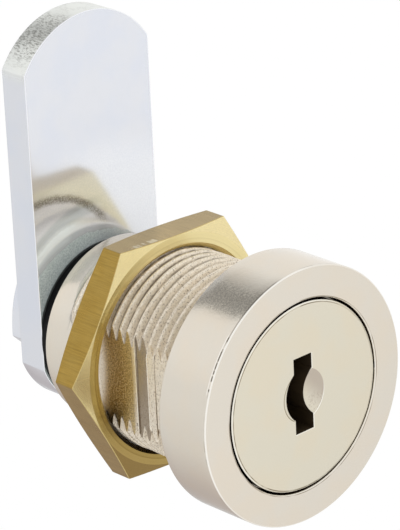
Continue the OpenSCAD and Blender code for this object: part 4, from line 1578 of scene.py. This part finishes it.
class CAMLOCK_OT_inner_pieces(bpy.types.Operator):
    """Give the stop washer, the wafers and their springs their finishes"""

    bl_idname = "cam_lock.inner_pieces"
    bl_label = "Inner pieces"

    def execute(self, context):
        colours = settings().colours
        steel = dull_steel("spring_steel", linear(colours.steel))
        brass = wafer_brass("wafer_plain_brass", linear(colours.wafer))
        black = black_paint("stop_washer_black", linear(colours.black))
        for names, material in ((["stop_washer"], black), (SPRINGS, steel), (WAFERS, brass)):
            for name in names:
                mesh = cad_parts[name].data
                mesh.materials.clear()
                mesh.materials.append(material)
        return {"FINISHED"}


class CAMLOCK_OT_studio(bpy.types.Operator):
    """Set up the floor, the light and the camera"""

    bl_idname = "cam_lock.studio"
    bl_label = "Studio"

    def execute(self, context):
        studio = settings().studio
        add_floor(studio)
        add_light(studio)
        add_camera(studio)
        context.scene.view_settings.view_transform = "Standard"
        return {"FINISHED"}


def seen_directly(shader):
    """1 where the camera, a mirror or glass sees the surface, and 0 for the light that it gives."""
    names = ("Is Camera Ray", "Is Glossy Ray", "Is Transmission Ray")
    rays = {name: shader.node("ShaderNodeLightPath", output=name) for name in names}
    return rays["Is Camera Ray"].most(rays["Is Glossy Ray"]).most(rays["Is Transmission Ray"])


def room_tone(shader, direction, studio):
    """The room's tone in each direction: pale, with a dark card above and behind, and shade below."""
    across, along, up = shader.parts(direction)
    turn = shader.node("ShaderNodeMath", {"operation": "ARCTAN2"}, {0: across, 1: up}) * (1 / math.tau) + 0.5
    card, below = studio.card, studio.below

    def stop(degrees, tone, warm=0.0):
        return (degrees / 360 + 0.5, (tone * (1 + warm), tone * (1 - 0.6 * warm), tone * (1 - warm)))

    stops = [
        stop(-180, below, 0.05),
        stop(-164, below + 0.08, 0.04),
        stop(-133, 0.84),
        stop(-91, 0.92),
        stop(-62, 1.0),
        stop(-17, 1.0),
        stop(-13, card),
        stop(6, card - 0.05),
        stop(20, 0.62),
        stop(38, 1.0),
        stop(122, 1.0),
        stop(131, 0.77),
        stop(143, 0.74),
        stop(158, below, 0.04),
        stop(180, below, 0.05),
    ]
    tone = shader.node("ShaderNodeValToRGB", {"stops": stops}, {0: turn})
    behind = shader.fade(along, 0.05, 0.40)
    return shader.mix(behind, (1.0, 1.0, 1.0), tone)


def add_floor(studio):
    """A pale floor that stays near white and keeps a soft shadow."""
    reach = 2.0
    mesh = bpy.data.meshes.new("studio_floor")
    square = ((-reach, -reach), (reach, -reach), (reach, reach), (-reach, reach))
    corners = [(x, y, studio.floor) for x, y in square]
    mesh.from_pydata(corners, [], [(0, 1, 2, 3)])
    floor = bpy.data.objects.new("studio_floor", mesh)
    bpy.context.scene.collection.objects.link(floor)
    finish = Finish("pale_floor")
    tone = finish.shade((0.97, 0.97, 0.97), 0.99 + finish.spots(120 * MM) * 0.01)
    paper = finish.node("ShaderNodeBsdfDiffuse", inputs={"Color": tone})
    direction = finish.node("ShaderNodeVectorMath", {"operation": "NORMALIZE"}, {0: finish.point})
    glossy = finish.node("ShaderNodeLightPath", output="Is Glossy Ray")
    seen = finish.mix(glossy, (1.0, 1.0, 1.0), room_tone(finish, direction, studio))
    glow = finish.node("ShaderNodeEmission", inputs={"Color": seen, "Strength": 1.03})
    factor = seen_directly(finish) * 0.8 + glossy * 0.2
    mixed = finish.node("ShaderNodeMixShader", inputs={0: factor, 1: paper, 2: glow})
    mesh.materials.append(finish.ended(mixed))


def add_light(studio):
    """A pale room all round, white where it is seen, with one dark card above and behind and shade below."""
    world = bpy.data.worlds.new("studio_room")
    bpy.context.scene.world = world
    world.use_nodes = True
    world.node_tree.nodes.clear()
    room = Shader(world.node_tree)
    direction = room.node("ShaderNodeTexCoord", output="Generated")
    camera_ray = room.node("ShaderNodeLightPath", output="Is Camera Ray")
    seen = room.mix(camera_ray, room_tone(room, direction, studio), (1.0, 1.0, 1.0))
    background = room.node("ShaderNodeBackground", inputs={"Color": seen, "Strength": studio.level})
    output = world.node_tree.nodes.new("ShaderNodeOutputWorld")
    connect(world.node_tree, output.inputs["Surface"], background)


def add_camera(studio):
    """The camera at the photograph's angle."""
    az, el, roll = studio.azimuth, studio.elevation, studio.roll
    back = Vector((math.sin(az) * math.cos(el), -math.cos(az) * math.cos(el), math.sin(el)))
    level_right = Vector((0, 0, 1)).cross(back).normalized()
    level_up = back.cross(level_right)
    right = math.cos(roll) * level_right + math.sin(roll) * level_up
    up = -math.sin(roll) * level_right + math.cos(roll) * level_up
    lens = bpy.data.cameras.new("camera")
    lens.sensor_width = 36
    lens.lens = studio.focal * lens.sensor_width / PHOTO_LONG_SIDE
    lens.clip_start = 0.01
    lens.clip_end = 20
    camera = bpy.data.objects.new("camera", lens)
    bpy.context.scene.collection.objects.link(camera)
    turn = Matrix((right, up, back)).transposed().to_4x4()
    turn.translation = back * studio.distance - right * studio.right - up * studio.up
    camera.matrix_world = turn
    bpy.context.scene.camera = camera


class CamLockSettings(bpy.types.PropertyGroup):
    """All the settings of the cam lock"""

    head: bpy.props.PointerProperty(type=HeadSizes)
    barrel: bpy.props.PointerProperty(type=BarrelSizes)
    plug: bpy.props.PointerProperty(type=PlugSizes)
    keyway: bpy.props.PointerProperty(type=KeywaySizes)
    nut: bpy.props.PointerProperty(type=NutSizes)
    cam: bpy.props.PointerProperty(type=CamSizes)
    screw: bpy.props.PointerProperty(type=ScrewSizes)
    colours: bpy.props.PointerProperty(type=FinishColours)
    studio: bpy.props.PointerProperty(type=StudioSettings)


OPERATORS = (
    CAMLOCK_OT_housing,
    CAMLOCK_OT_plug,
    CAMLOCK_OT_hex_nut,
    CAMLOCK_OT_cam,
    CAMLOCK_OT_inner_pieces,
    CAMLOCK_OT_studio,
)


class CAMLOCK_PT_pieces(bpy.types.Panel):
    """The cam lock's pieces, in the order in which they are built"""

    bl_idname = "CAMLOCK_PT_pieces"
    bl_label = "Cam Lock"
    bl_space_type = "VIEW_3D"
    bl_region_type = "UI"
    bl_category = "Cam Lock"

    def draw(self, context):
        for operator in OPERATORS:
            self.layout.operator(operator.bl_idname)


CLASSES = (
    HeadSizes,
    BarrelSizes,
    PlugSizes,
    KeywaySizes,
    NutSizes,
    CamSizes,
    ScrewSizes,
    FinishColours,
    StudioSettings,
    CamLockSettings,
    *OPERATORS,
    CAMLOCK_PT_pieces,
)


def register():
    for item in CLASSES:
        bpy.utils.register_class(item)
    bpy.types.Scene.cam_lock = bpy.props.PointerProperty(type=CamLockSettings)


def unregister():
    del bpy.types.Scene.cam_lock
    for item in reversed(CLASSES):
        bpy.utils.unregister_class(item)


def main():
    """Builds everything in order."""
    register()
    for operator in OPERATORS:
        group, name = operator.bl_idname.split(".")
        getattr(getattr(bpy.ops, group), name)()


if __name__ == "__main__":
    main()
